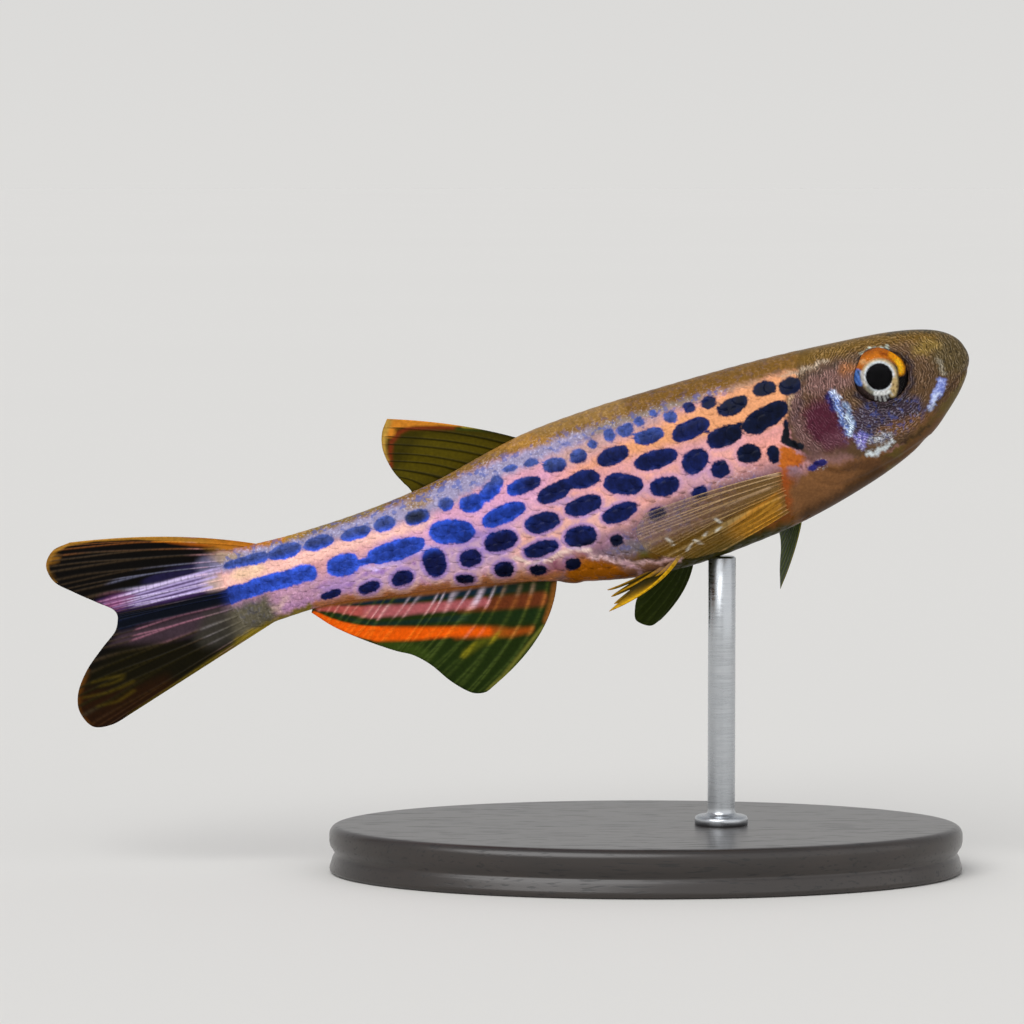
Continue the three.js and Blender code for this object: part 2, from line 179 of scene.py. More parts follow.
def to_leg(start: tuple[float, ...], end: tuple[float, ...], s: Array, h: Array) -> tuple[Array, Array]:
    """The nearest place on a straight leg to each place.

    Args:
        start: The leg's start.
        end: The leg's end.
        s: Distances behind the snout.
        h: Heights.

    Returns:
        How far along the leg it lies, from 0 to 1, and how far away.
    """
    run, rise = end[0] - start[0], end[1] - start[1]
    share = np.clip(((s - start[0]) * run + (h - start[1]) * rise) / (run * run + rise * rise), 0.0, 1.0)
    return share, np.hypot(s - start[0] - share * run, h - start[1] - share * rise)


@dataclass(frozen=True)
class Area:
    """A mark bounded by straight edges from corner to corner."""

    corners: Line

    def depth(self, s: Array, h: Array) -> Array:
        """How far inside its edge each place lies, in millimetres."""
        nearest = np.full(s.shape, np.inf)
        inside = np.zeros(s.shape, bool)
        for (s0, h0), (s1, h1) in zip(self.corners, self.corners[1:] + self.corners[:1]):
            nearest = np.minimum(nearest, to_leg((s0, h0), (s1, h1), s, h)[1])
            if h0 != h1:
                inside ^= ((h0 > h) != (h1 > h)) & (s < s0 + (s1 - s0) * (h - h0) / (h1 - h0))
        return np.where(inside, nearest, -nearest)


@dataclass(frozen=True)
class Stroke:
    """A mark drawn along a path, whose half width runs from one value to another."""

    path: Line
    start: float
    end: float | None = None

    def depth(self, s: Array, h: Array) -> Array:
        """How far inside its edge each place lies, in millimetres."""
        deepest = np.full(s.shape, -np.inf)
        end = self.start if self.end is None else self.end
        legs = len(self.path) - 1
        for leg in range(legs):
            share, away = to_leg(self.path[leg], self.path[leg + 1], s, h)
            half = self.start + (end - self.start) * (leg + share) / legs
            deepest = np.maximum(deepest, half - away)
        return deepest


@dataclass(frozen=True)
class Wash:
    """A colour or a level laid over a mark, with a soft edge in millimetres."""

    tint: str | float
    mark: Blob | Area | Stroke
    soft: float = 0.3
    strength: float = 1.0

    def over(self, base: Array, s: Array, h: Array) -> Array:
        """Lays this wash over a base of one row for each place."""
        cover = self.strength * smooth(-self.soft, self.soft, self.mark.depth(s, h))[:, None]
        return base + (row_of(self.tint) - base) * cover


def row_of(tint: str | float) -> Array:
    """A colour's three linear channels, or a level, as one row."""
    return linear(tint) if isinstance(tint, str) else np.array([tint])


def lay(tint: str | float, washes: tuple[Wash, ...], s: Array, h: Array) -> Array:
    """Lays washes one after another over a plain ground.

    Args:
        tint: The ground's colour or level.
        washes: The washes, first one lowest.
        s: Distances behind the snout.
        h: Heights.

    Returns:
        One row of colour, or of one level, for each place.
    """
    made = np.tile(row_of(tint), (len(s), 1))
    for wash in washes:
        made = wash.over(made, s, h)
    return made


@dataclass(frozen=True)
class Viewpoint:
    """Where the fish is looked at from: a foot to its right, a little above it, through a long lens."""

    target: Triple = (-7.82, 0.0, 21.08)
    elevation: float = math.radians(4.0)
    distance: float = 298.0

    def flatten(self, x: Array, y: Array, z: Array) -> tuple[Array, Array]:
        """Slides places, in millimetres, along the line of sight onto the middle plane."""
        right, back, up = x - self.target[0], y - self.target[1], z - self.target[2]
        cos, sin = math.cos(self.elevation), math.sin(self.elevation)
        spread = self.distance / (self.distance + back * cos - up * sin)
        return self.target[0] + right * spread, self.target[2] + (up * cos + back * sin) * spread


VIEW = Viewpoint()


@dataclass(frozen=True)
class FishFrame:
    """Places the fish's measures in the model's frame: nose up on its stand, the tail swung to the left."""

    pitch: float = math.radians(16.4)
    snout_x: float = 18.6
    snout_z: float = 30.5
    sway: float = 1.5
    sway_start: float = 24.0
    sway_length: float = 31.0
    tries: int = 4

    def bend(self, s: Array) -> Array:
        """How far the middle plane lies to the left at each distance."""
        return self.sway * np.maximum(0.0, (s - self.sway_start) / self.sway_length) ** 2

    def place(self, points: Array) -> Array:
        """Turns rows of s, y and h in millimetres into rows of x, y and z in metres."""
        s, y, h = points[..., 0], points[..., 1], points[..., 2]
        cos, sin = math.cos(self.pitch), math.sin(self.pitch)
        x = self.snout_x - s * cos - h * sin
        z = self.snout_z - s * sin + h * cos
        return np.stack([x, y + self.bend(s), z], -1) * MM

    def level(self, x: Array, z: Array) -> tuple[Array, Array]:
        """Turns x and z in millimetres back into s and h."""
        ahead, up = self.snout_x - x, z - self.snout_z
        cos, sin = math.cos(self.pitch), math.sin(self.pitch)
        return ahead * cos - up * sin, ahead * sin + up * cos

    def seen(self, points: Array) -> tuple[Array, Array]:
        """The s and h at which places in metres are seen, each from its own side of the fish."""
        x, y, z = (points.reshape(-1, 3) / MM).T
        bend = self.bend(self.level(x, z)[0])
        return self.level(*VIEW.flatten(x, bend - np.abs(y - bend), z))

    def facing(self, s: float, h: float, y: float) -> tuple[float, float]:
        """The true s and h of a place that is seen at s and h, and lies y to the side."""
        true_s, true_h = s, h
        for _ in range(self.tries):
            seen_s, seen_h = self.seen(self.place(np.array([true_s, y, true_h])))
            true_s, true_h = true_s + s - float(seen_s[0]), true_h + h - float(seen_h[0])
        return true_s, true_h


@dataclass(frozen=True)
class BodyForm:
    """The body as superellipse sections between the lines of its back, belly and flanks."""

    back: Line = (
        (0, -0.26), (0.03, 0.02), (0.09, 0.25), (0.24, 0.67), (0.63, 1.16), (1.2, 1.56), (2, 1.89),
        (4, 2.33), (7, 2.62), (12, 2.92), (18, 3.0), (22, 2.95), (26, 2.66), (28, 2.3), (32, 1.42),
        (36, 0.95), (41, 0.8), (44.6, 0.98),
    )
    belly: Line = (
        (0, -0.36), (0.04, -0.6), (0.13, -0.82), (0.43, -1.4), (1, -2.15), (2, -3.1), (3, -3.92), (5, -5.0),
        (8, -6.03), (12, -6.95), (15, -7.33), (19, -7.57), (22, -7.35), (25, -6.72), (28, -5.85), (32, -5.0),
        (36, -4.38), (39.5, -3.84), (42, -3.85), (44.6, -4.02),
    )
    girth: Line = (
        (0, 0.08), (0.06, 0.42), (0.2, 0.74), (0.45, 1.05), (1, 1.4), (2, 1.82), (4, 2.32), (6, 2.58),
        (9, 2.82), (13, 3.02), (17, 3.05), (21, 2.92), (25, 2.56), (29, 2.1), (34, 1.6), (39, 1.22),
        (44.6, 0.72),
    )
    widest_lift: float = 0.06
    head_power: float = 2.7
    back_power: float = 2.3
    belly_power: float = 2.05
    least_girth: float = 0.05
    fine_steps: int = 721

    def section(self, s: Array) -> tuple[Array, Array, Array, Array, Array]:
        """Half width, middle, top, bottom and the power above the middle at each distance."""
        s = np.asarray(s, float)
        top, bottom = along_body(self.back, s), along_body(self.belly, s)
        middle = (top + bottom) / 2 + self.widest_lift * (top - bottom)
        above = self.head_power + (self.back_power - self.head_power) * smooth(6.6, 17.6, s)
        return along_body(self.girth, s), middle, top, bottom, above

    def width_at(self, s: float, h: float) -> float:
        """The half width at a place in side view."""
        width, middle, top, bottom, above = (float(value) for value in self.section(s))
        reach = (h - middle) / (top - middle) if h > middle else (middle - h) / (middle - bottom)
        power = above if h > middle else self.belly_power
        return 0.0 if reach >= 1 else width * (1 - reach**power) ** (1 / power)

    def belly_at(self, s: float, y: float) -> float:
        """The height of the belly's surface beside the middle plane."""
        width, middle, _, bottom, _ = (float(value) for value in self.section(s))
        rise = (1 - (abs(y) / width) ** self.belly_power) ** (1 / self.belly_power)
        return middle - (middle - bottom) * rise

    def ring(self, s: float, count: int, grow: float) -> Array:
        """Evenly spaced points round the section at s, from the belly up the left side and back.

        Args:
            s: Distance behind the snout.
            count: How many points.
            grow: Millimetres added outwards.

        Returns:
            Rows of y and h.
        """
        width, middle, top, bottom, above = (float(value) for value in self.section(s))
        turn = np.linspace(-0.5, 1.5, self.fine_steps) * math.pi
        side, rise = np.cos(turn), np.sin(turn)
        power = np.where(rise >= 0, 2 / above, 2 / self.belly_power)
        reach = np.where(rise >= 0, top + grow - middle, middle - bottom + grow)
        y = np.sign(side) * max(width + grow, self.least_girth) * np.abs(side) ** power
        h = middle + np.sign(rise) * reach * np.abs(rise) ** power
        length = np.concatenate([[0.0], np.cumsum(np.hypot(np.diff(y), np.diff(h)))])
        at = np.arange(count) / count * length[-1]
        return np.column_stack([np.interp(at, length, y), np.interp(at, length, h)])


FISH = FishFrame()
FORM = BodyForm()

EYE_OPENING = Blob(5.15, -0.13, 1.65, 1.42, power=2.0)
GILL_COVER = Area((
    (8.5, 0.55), (9.7, 0.5), (10.45, 0.1), (10.95, -0.7), (11.2, -1.6), (11.15, -2.3), (10.75, -3.2),
    (10.2, -3.9), (9.5, -4.4), (8.2, -5.0), (7.1, -4.3), (7.35, -2.6), (7.75, -0.8),
))

SPOTS = tuple(Blob(*row) for row in (
    # the upper row, small and bluish
    (10.4, 0.9, 0.62, 0.42), (11.9, 1.15, 0.65, 0.37), (13.95, 0.72, 0.95, 0.42, 10),
    (15.25, 1.3, 0.4, 0.32), (16.4, 1.37, 0.3, 0.3), (17.6, 1.15, 0.38, 0.3), (18.5, 1.6, 0.18, 0.2),
    (19.4, 1.4, 0.22, 0.28, 30), (20.35, 1.12, 0.42, 0.34), (21.3, 1.12, 0.27, 0.33),
    (22.4, 0.93, 0.26, 0.26), (23.4, 0.45, 0.45, 0.38), (24.85, 0.33, 0.65, 0.38, -8),
    (26.1, 0.85, 0.4, 0.18), (27.4, 0.9, 0.4, 0.13),
    # the second row
    (16.7, 0.08, 1.15, 0.5, 9), (19.1, 0.42, 0.85, 0.4), (21.45, -0.1, 0.95, 0.48, 4),
    (26.9, -0.3, 1, 0.42, 5),
    # the third row
    (12.3, -0.45, 1.45, 0.58, 14), (12.85, -1.02, 0.32, 0.24, 20), (13.86, -0.52, 0.2, 0.14),
    (14.9, -0.85, 1.02, 0.55, 6), (19.1, -1, 1.27, 0.5), (23.45, -0.92, 0.95, 0.45),
    (25.25, -1.15, 1.05, 0.48, 12),
    # the fourth row
    (12.47, -2.68, 0.3, 0.47), (13.8, -2.25, 0.66, 0.52, -12), (15.68, -2.62, 0.52, 0.46),
    (16.98, -1.74, 0.8, 0.62, 30), (19.05, -2.63, 0.85, 0.5), (21.3, -1.85, 1.15, 0.58, -20),
    (23.9, -2.4, 1.05, 0.5, 2), (26.5, -2.65, 1, 0.55), (28.5, -1.58, 1.3, 0.5, 6),
    (31.65, -1.7, 1.3, 0.68, -15), (35.1, -1.8, 1.7, 0.55), (37, -1.9, 0.6, 0.18),
    (38.3, -1.75, 0.88, 0.62),
    # the fifth row, half of it under the fin
    (22, -3.4, 1.02, 0.48, 6), (17.2, -3.6, 0.4, 0.35), (19.9, -4.05, 0.5, 0.36),
    (24.55, -4.08, 0.87, 0.55, -10), (27, -4.1, 0.98, 0.42), (29.1, -3, 0.93, 0.58),
    (31.1, -3.48, 0.6, 0.45), (33.15, -3.1, 0.6, 0.8), (35.25, -3.45, 0.57, 0.4), (37.2, -3.45, 0.55, 0.28),
    (39.45, -3.2, 0.6, 0.2),
    # the lowest row
    (22.6, -4.9, 0.32, 0.3), (25.45, -5.5, 0.4, 0.33), (27.5, -5.3, 0.45, 0.24, -14),
    (29.4, -4.65, 0.48, 0.42), (31.7, -4.55, 0.45, 0.24, -20),
    # the bluish row of the tail stem
    (28.35, 0.35, 0.3, 0.32), (28.9, -0.05, 0.62, 0.4, 30), (30.1, -0.42, 0.7, 0.45),
    (31.55, -0.1, 0.4, 0.35), (33.35, -0.3, 0.72, 0.4), (35.3, -0.12, 0.6, 0.38), (37.1, -0.2, 0.85, 0.33),
    (39.3, -0.1, 0.85, 0.36), (41.35, -0.04, 1, 0.36, 3),
    # the lower corner of the gill cover
    (10, -3.9, 0.36, 0.15, -8), (10.5, -4.05, 0.22, 0.12),
))
STRIPES = (
    Stroke(((40.35, -1.62), (43, -1.56), (45.5, -1.64), (48, -1.6), (52, -1.35)), 0.47, 0.36),
    Stroke(((42.6, 0.02), (43.6, 0.1), (44.8, 0.12)), 0.3, 0.14),
    # the dark edge behind the gill cover
    Stroke(((11.2, -1), (11.35, -1.5), (11.55, -2)), 0.06, 0.2),
    Stroke(((11.5, -2.1), (11.15, -2.45), (10.75, -2.72)), 0.18, 0.09),
)
SPOT_JOIN = 0.1  # how far apart two spots still run together
SPOT_CREEP = 0.045  # how far every spot's edge is moved out
SPOT_EDGE = (-0.09, 0.06)  # where its colour starts and is full, inside its edge
FAR_OUTSIDE = -9.0

NET = "#d0959a"
GROUND = (
    # the lower flank and the long net of paler skin between the spots
    Wash("#8a6a74", Area((
        (11, -2.9), (15, -2.8), (20, -3.3), (24, -4.6), (29, -5.2), (34, -4.6), (40, -3.5), (46, -4.6),
        (30, -7), (20, -9), (11, -9),
    )), 0.5),
    Wash("#e09a64", Area((
        (9, 2), (13.5, 1.75), (16, 1.3), (19, 0.85), (22, 0.2), (24, -0.3), (24, -0.5), (21, -0.5),
        (17, -0.5), (14, -0.9), (9, -1.3),
    )), 0.45, 0.9),
    Wash("#e89c8c", Area((
        (11.5, -1.4), (16, -1.3), (21, -0.9), (25, -0.2), (26.5, -1.2), (26, -4), (22, -4), (18, -3.1),
        (12, -3),
    )), 0.9, 0.85),
    Wash("#d59abc", Area((
        (24.5, 0.4), (28, 0.1), (36, -0.4), (36, -3), (30, -4.4), (27.5, -3.2), (26, -1.2),
    )), 1),
    Wash("#d98a70", Blob(26.6, -3.3, 2.4, 0.7, 8), 0.6, 0.8),
    Wash("#b98aa8", Blob(18.2, -2.6, 2.6, 0.5), 0.5, 0.7),
    Wash("#b8938c", Area((
        (17, 1.5), (21, 1.3), (25, 1), (25, 0.2), (23.4, 0.1), (21, 0.7), (18.5, 0.95),
    )), 0.3, 0.85),
    Wash("#8c7c7c", Area((
        (15.5, 2.1), (23, 2), (25, 1.25), (23, 1.15), (20, 1.35), (17.5, 1.5), (15.5, 1.6),
    )), 0.3),
    Wash("#84745c", Area(((12, 1.85), (18, 2.05), (26, 1.95), (26, 1.6), (18, 1.62), (12, 1.55))), 0.2, 0.7),
    Wash("#948cac", Area((
        (22, 1.85), (25, 1.8), (31, 1.35), (35, 0.8), (46, 0.7), (46, -0.2), (38, -0.3), (33, -0.5),
        (29.5, 0.3), (26, 0.75), (23, 1.2),
    )), 0.35),
    Wash("#9a74b8", Area((
        (29, -2.1), (33, -2.3), (46, -2.2), (46, -3.4), (38, -3.4), (33, -3.9), (29, -4.4),
    )), 0.6),
    Wash("#ae86b6", Blob(25, -1.85, 0.8, 0.22), 0.3, 0.9),
    Wash("#6c4cac", Blob(30.1, -2.38, 0.9, 0.28, -6), 0.2),
    Wash("#c8b4f6", Stroke((
        (37.3, -2.1), (36.5, -2.5), (35.6, -2.4), (34.9, -2.6), (34.2, -2.3), (33.5, -2.2), (32.9, -2.3),
    ), 0.13), 0.14, 0.9),
    Wash("#784898", Blob(34.1, -2.66, 0.8, 0.26), 0.2),
    Wash("#f2bcb0", Area((
        (32.5, -0.5), (38, -0.42), (42, -0.36), (47, -0.3), (47, -1.15), (42, -1.2), (38, -1.05),
        (33, -1.05),
    )), 0.22),
    Wash("#e6c69a", Blob(43.7, -0.6, 1, 0.35), 0.3, 0.6),
    Wash("#b98aa0", Area(((40, -2.15), (43.4, -2.1), (43.6, -3.2), (40, -3.2))), 0.3, 0.85),
    Wash("#5a5444", Area(((43, -2.15), (47, -2.2), (47, -4.6), (42.6, -4), (42.7, -3.2))), 0.45),
    Wash("#7c6a1c", Stroke(((40.9, -3.6), (42.6, -3.8), (45.5, -4.3)), 0.24), 0.16),
    Wash("#c8a89c", Stroke(((42, -2.7), (42.9, -3.15), (42.5, -3.3)), 0.12), 0.16, 0.7),
    # the golden back
    Wash("#765420", Area((
        (6, 1.62), (12, 1.76), (18, 1.93), (25, 1.8), (28, 1.62), (30, 1.38), (32, 0.95), (34, 0.78),
        (36, 0.64), (40, 0.48), (42, 0.58), (46, 1.1), (46, 7), (6, 7),
    )), 0.2),
    Wash("#9c7840", Area(((20, 2.1), (28, 1.9), (32, 1.2), (34, 1), (34, 4), (20, 4))), 0.4, 0.7),
    Wash("#a3752f", Blob(26.8, 2.3, 2.2, 0.45, -12), 0.3, 0.8),
    Wash("#846a30", Area(((35, 0.7), (40, 0.46), (42, 0.56), (42, 2), (35, 3))), 0.16),
    Wash("#a87c2c", Blob(41, 0.8, 1.4, 0.26), 0.2, 0.9),
    Wash("#957540", Blob(33.1, 0.5, 0.8, 0.36), 0.25, 0.8),
    Wash("#b06c1c", Stroke(((41.3, 0.8), (43.2, 0.95), (44.6, 1.35), (46, 2)), 0.22, 0.3), 0.16),
    Wash("#a58f70", Blob(44.7, 0.62, 1, 0.28, -14), 0.2, 0.8),
    # the belly, olive, darkened to nearly black along the keel as painted shade under the body
    Wash("#6b4a14", Area((
        (8.5, -4.9), (11.5, -5.3), (14, -5.5), (19, -5.5), (21, -5.7), (23.2, -6.1), (26, -6),
        (27.5, -7.6), (20, -10), (8, -10),
    )), 0.5),
    # nearly black along the keel: painted shade under the body
    Wash("#33300a", Area((
        (8, -5.9), (10.5, -6.2), (12.5, -6.7), (16, -6.7), (19, -6.9), (23, -6.95), (26, -6.5), (27, -8),
        (20, -10), (8, -10),
    )), 0.35),
    Wash("#5a5a1c", Blob(21.3, -5.85, 0.35, 0.45), 0.25, 0.8),
    Wash("#7a7078", Blob(22.3, -5.4, 1.5, 0.4, -12), 0.4, 0.8),
    Wash("#ab6c42", Stroke((
        (26.6, -5.65), (30, -5.1), (34, -4.55), (37, -3.95), (40.4, -3.5),
    ), 0.48, 0.24), 0.16),
    Wash("#94586a", Blob(26.3, -5.15, 1.7, 0.45), 0.3),
    Wash("#8c6078", Blob(23.2, -4.75, 1, 0.5), 0.35, 0.8),
    Wash("#a05a06", Area((
        (25.2, -4.95), (24.3, -5.5), (22.6, -6.4), (21.7, -6.9), (22.5, -7.6), (24, -7.4), (26, -6.4),
        (26, -5.9),
    )), 0.2),
    Wash("#6a3a04", Area(((21.7, -6.9), (24.5, -6.75), (26.4, -6.2), (26.4, -7.4), (22, -8))), 0.25),
    Wash("#3a2418", Stroke(((24.2, -5.45), (23.2, -5.85), (22, -6.3), (20.4, -6.65)), 0.07), 0.08, 0.8),
    Wash("#e0b8ba", Stroke((
        (24.7, -4.8), (24.1, -5.45), (23.1, -6), (22, -6.45), (20.6, -6.8), (19.4, -6.95),
    ), 0.09, 0.12), 0.08),
    Wash("#8c6450", Area((
        (23.3, -6.1), (21.6, -6.6), (19.7, -7.1), (20.4, -7.5), (22, -7.5), (22.3, -7),
    )), 0.15, 0.85),
    Wash("#c9a0ac", Stroke(((22.7, -6.25), (22, -6.7), (21.8, -7.1)), 0.12), 0.1),
    Wash("#f6d8c8", Stroke((
        (28.6, -4.2), (27.9, -4.72), (26.7, -4.85), (25.9, -4.62), (25.3, -4.6), (24.4, -4.85),
    ), 0.09, 0.13), 0.07),
    Wash("#b4601e", Area((
        (11.9, -2.15), (12.25, -3), (12.3, -3.62), (11.5, -3.66), (10.5, -3.6), (11.2, -2.85),
    )), 0.07),
    Wash("#8a3c12", Stroke(((11.9, -2.9), (11.5, -3.3), (11, -3.65)), 0.05), 0.08, 0.7),
    Wash("#4a2010", Stroke(((11.6, -3.55), (10.8, -3.88)), 0.04, 0.08), 0.07, 0.8),
    Wash("#80481c", Area((
        (11.6, -4.2), (12.6, -3.7), (14.5, -4.4), (14.5, -6.6), (12.4, -6.6), (11.6, -5.4),
    )), 0.35),
    Wash("#96481a", Stroke(((12.15, -3.8), (12.3, -4.7), (12.35, -5.6)), 0.22, 0.14), 0.2),
)
GILL_CORNER = ((7.75, -2.9), (7.2, -2.85), (6.75, -3.3), (7.1, -3.5), (7.45, -3.9), (7.6, -3.5))
CHEEK_LINE = ((7.15, -4.12), (6.65, -4.28), (6.1, -4.08), (5.55, -3.9))
HEAD_GROUND = (
    Wash("#7a5230", Area((
        (2.5, -3.5), (5, -4.4), (8, -4), (9.5, -3.8), (10.6, -3.9), (11.4, -4.3), (12.2, -5), (12.5, -8),
        (8, -9), (2.5, -6),
    )), 0.3),
    # the underside of the head, darker towards the bottom: painted shade under the head
    Wash("#3c260e", Area((
        (3, -4.1), (5, -4.5), (7, -4.85), (8.5, -5.4), (9.6, -5.9), (12, -6.3), (12, -9), (4, -7),
    )), 0.4, 0.85),
    Wash("#57402a", Area((
        (-1, 3), (9, 3), (10, 1.3), (10.9, 0.2), (11.2, -1.2), (11.15, -2.3), (10.6, -3.4), (9.6, -3.9),
        (8.4, -4.1), (7, -4.4), (4, -4.1), (-1, -2.6),
    )), 0.12),
    Wash("#6a4f1e", Area((
        (-1, 4), (9.5, 4), (9.6, 1.75), (6.5, 1.75), (3.5, 1.55), (2, 1.1), (-1, 1.2),
    )), 0.35),
    Wash("#262a1e", Stroke(((3.8, 2.4), (2.7, 2.2), (1.7, 1.85), (1, 1.4)), 0.3, 0.22), 0.3, 0.85),
    Wash("#504226", Blob(0.8, 0, 1.2, 1.2), 0.5),
    Wash("#846c30", Blob(2.2, 0.85, 0.8, 0.4), 0.35, 0.7),
    Wash("#3a2e3a", Blob(5.7, -2.4, 2.4, 1), 0.45),
    Wash("#6c4e48", Blob(8, 0.55, 1.6, 0.75), 0.5),
    Wash("#8a5424", Blob(6.9, 0.9, 0.5, 0.34), 0.3, 0.8),
    Wash("#2b2026", Stroke((
        (6.75, -0.7), (6.3, -1.4), (5.5, -1.85), (4.4, -1.7), (3.6, -1), (3.35, 0), (3.4, 0.6),
    ), 0.26, 0.12), 0.22),
    Wash("#6e4c2c", Blob(4.4, -3.2, 2, 0.45), 0.35, 0.8),
    Wash("#4a1c2c", Blob(9, -1.75, 1.4, 1.45), 0.55),
    Wash("#5c3440", Blob(8.7, -2.9, 0.9, 0.5), 0.4, 0.8),
    Wash("#84605c", Stroke(((10.6, -3.45), (9.6, -3.85), (8.4, -4.05)), 0.26), 0.3, 0.9),
    Wash("#644846", Stroke(((10.2, 0.4), (10.65, -0.8), (10.6, -2.1), (10, -3.2)), 0.4), 0.3, 0.85),
    Wash("#3a2830", Stroke(((10, 0), (10.4, -0.7), (10.75, -1.1)), 0.08), 0.12, 0.7),
        Wash("#231c54", Stroke(((8.42, -0.35), (8.34, -1)), 0.2), 0.12),
    Wash("#6f86c0", Stroke(((8.12, -0.15), (8.05, -1), (8, -2), (7.85, -2.75)), 0.17, 0.18), 0.1),
    Wash("#c4cfe4", Stroke(((8.05, -0.1), (7.95, -0.5)), 0.14), 0.12, 0.8),
    Wash("#7f9cc0", Stroke(((7.62, -1), (7.55, -1.8), (7.6, -2.4)), 0.14), 0.14, 0.85),
    Wash("#c3d6e6", Stroke(((7.7, -1.7), (7.62, -2.2), (7.85, -2.75)), 0.11), 0.1),
    Wash("#242840", Stroke(((7.88, -1.2), (7.88, -2.2)), 0.05), 0.06, 0.8),
    Wash("#8078bc", Area(GILL_CORNER), 0.14),
    Wash("#8d8d92", Blob(6.2, -3.5, 0.75, 0.22), 0.22, 0.75),
    Wash("#d4dcde", Stroke(CHEEK_LINE, 0.17, 0.08), 0.08),
    # the blue-white band along the upper lip, with its pale and dark strokes: a painted highlight on the
    # maxilla
    Wash("#7886cc", Area((
        (1.6, -1.25), (2.05, -1.15), (2.35, -1.6), (2.75, -2.15), (3.24, -2.72), (3.02, -2.8), (2.36, -2.25),
        (1.65, -1.7),
    )), 0.08),
    Wash("#b4c0ee", Stroke(((1.9, -1.3), (2.3, -1.75), (2.95, -2.55)), 0.05, 0.03), 0.05, 0.8),
    Wash("#5c6aac", Stroke(((1.72, -1.55), (2.2, -2.02), (2.8, -2.62)), 0.035), 0.05, 0.8),
    Wash("#c8d4ee", Stroke(((2.2, -1.9), (3.05, -2.72)), 0.07, 0.1), 0.1),
    Wash("#8f8878", Stroke(((1.7, -0.1), (1.6, -0.9)), 0.1), 0.15, 0.7),
    Wash("#5c4a1e", Area((
        (-1, -0.8), (0.35, -1.25), (1.5, -2.15), (2.6, -3), (3.6, -3.55), (5, -4.15), (6.6, -4.6),
        (6, -7), (-1, -5),
    )), 0.12),
    Wash("#5e3a1e", Area((
        (2.4, -3.1), (3.6, -3.7), (5, -4.25), (5.4, -5.2), (3.4, -4.6), (2.2, -3.5),
    )), 0.3, 0.8),
    Wash("#563820", Blob(6.8, -4.85, 2.2, 0.3, -10), 0.3, 0.8),
    Wash("#2e1e14", Stroke(((3.3, -3.55), (4.2, -3.95), (5.2, -4.1)), 0.06, 0.1), 0.1, 0.8),
    # the pale arc over the eye: a painted highlight on the upper rim of the socket
    Wash("#98a498", Stroke(((5.95, 1.56), (5.1, 1.64), (4.35, 1.42)), 0.05, 0.08), 0.07, 0.85),
    Wash("#241810", Stroke(((6.2, 1.2), (5.4, 1.4), (4.5, 1.24), (3.75, 0.8), (3.42, 0.2)), 0.1), 0.08),
    Wash("#33261c", Stroke(((9.6, 1.15), (8.6, 1.2), (7.4, 1.4)), 0.1), 0.14, 0.7),
    Wash("#a59480", Stroke(((10.6, 1.52), (8.8, 1.6), (7.9, 1.75)), 0.1), 0.12, 0.75),
    Wash("#b89878", Stroke(((10.5, 0.3), (10.9, -0.2)), 0.14), 0.12, 0.7),
)
DEEP_INK = "#060f2a"
INK = (
    Wash("#0f1a4c", Area(((15.5, 3), (60, 3), (60, -8), (15.5, -8))), 1.5),
    Wash("#1e3c9c", Area(((27.2, 1), (60, 1), (60, -2.75), (32, -2.6), (27.2, -2.2))), 0.6),
    Wash("#2a48b0", Area(((32.5, 1), (60, 1), (60, -2.75), (32.5, -2.6))), 1.5),
    Wash("#33437f", Area((
        (17, 3), (60, 3), (60, 0.3), (33, -0.45), (28.6, 0.2), (24, 0.2), (22, 0.7), (17, 0.75),
    )), 0.3),
    Wash("#2c3f80", Area(((18, 0.95), (20.2, 0.95), (20.2, 0.2), (18, 0.2))), 0.25, 0.9),
    Wash("#0c1446", Area(((28, -2.5), (34, -2.5), (42, -2.8), (42, -7), (28, -7))), 0.4),
    Wash("#050a22", Area(((20, -4.3), (28, -4.5), (42, -3.6), (42, -8), (20, -8))), 0.3),
    Wash("#1c2024", Blob(33.5, -0.3, 0.6, 0.35), 0.2, 0.8),
    Wash("#12163a", Area(((45, -0.5), (60, -0.5), (60, -3), (45, -3))), 1.2),
    Wash("#0c1018", Blob(11.3, -2.2, 0.9, 1), 0.3),
    Wash("#24225e", Blob(10.2, -3.95, 0.8, 0.4), 0.2),
)
WHORL = (
    Wash(0.9, Area((
        (-1, 2.4), (8.3, 2.5), (10.2, 1.3), (10.9, 0), (11, -1.6), (10.4, -3), (9, -3.4),
        (8.4, -2.9), (6.8, -3.8), (5, -3.9), (1.5, -2.2), (-1, -1.2),
    )), 0.3),
    Wash(0.35, Blob(8.9, -1.9, 0.9, 1.2), 0.5),
    Wash(0, Area(((1.4, -1.2), (2.2, -0.9), (3.5, -2.7), (3, -3.1), (1.4, -1.9))), 0.1),
)
GLITTER = (
    Wash(0.1, Area(((10, 4), (46, 4), (46, 0.6), (31, 1.1), (25, 1.6), (10, 1.6))), 0.3),
    Wash(0.85, Area((
        (14, 2), (25, 2), (31, 1.5), (36, 0.9), (46, 0.8), (46, -0.1), (38, -0.2), (30, 0.35), (24, 1.1),
        (14, 1.5),
    )), 0.35),
    Wash(0.1, Area(((39.5, -2.2), (47, -2.1), (47, -3.9), (39.5, -3.4))), 0.3),
    Wash(0.5, Area(((13.6, -2.9), (16, -3), (22, -4.4), (24, -6), (19, -5.6), (14, -5))), 0.4),
    Wash(0.45, Blob(5.9, -2.5, 2.5, 1.1), 0.4),
)
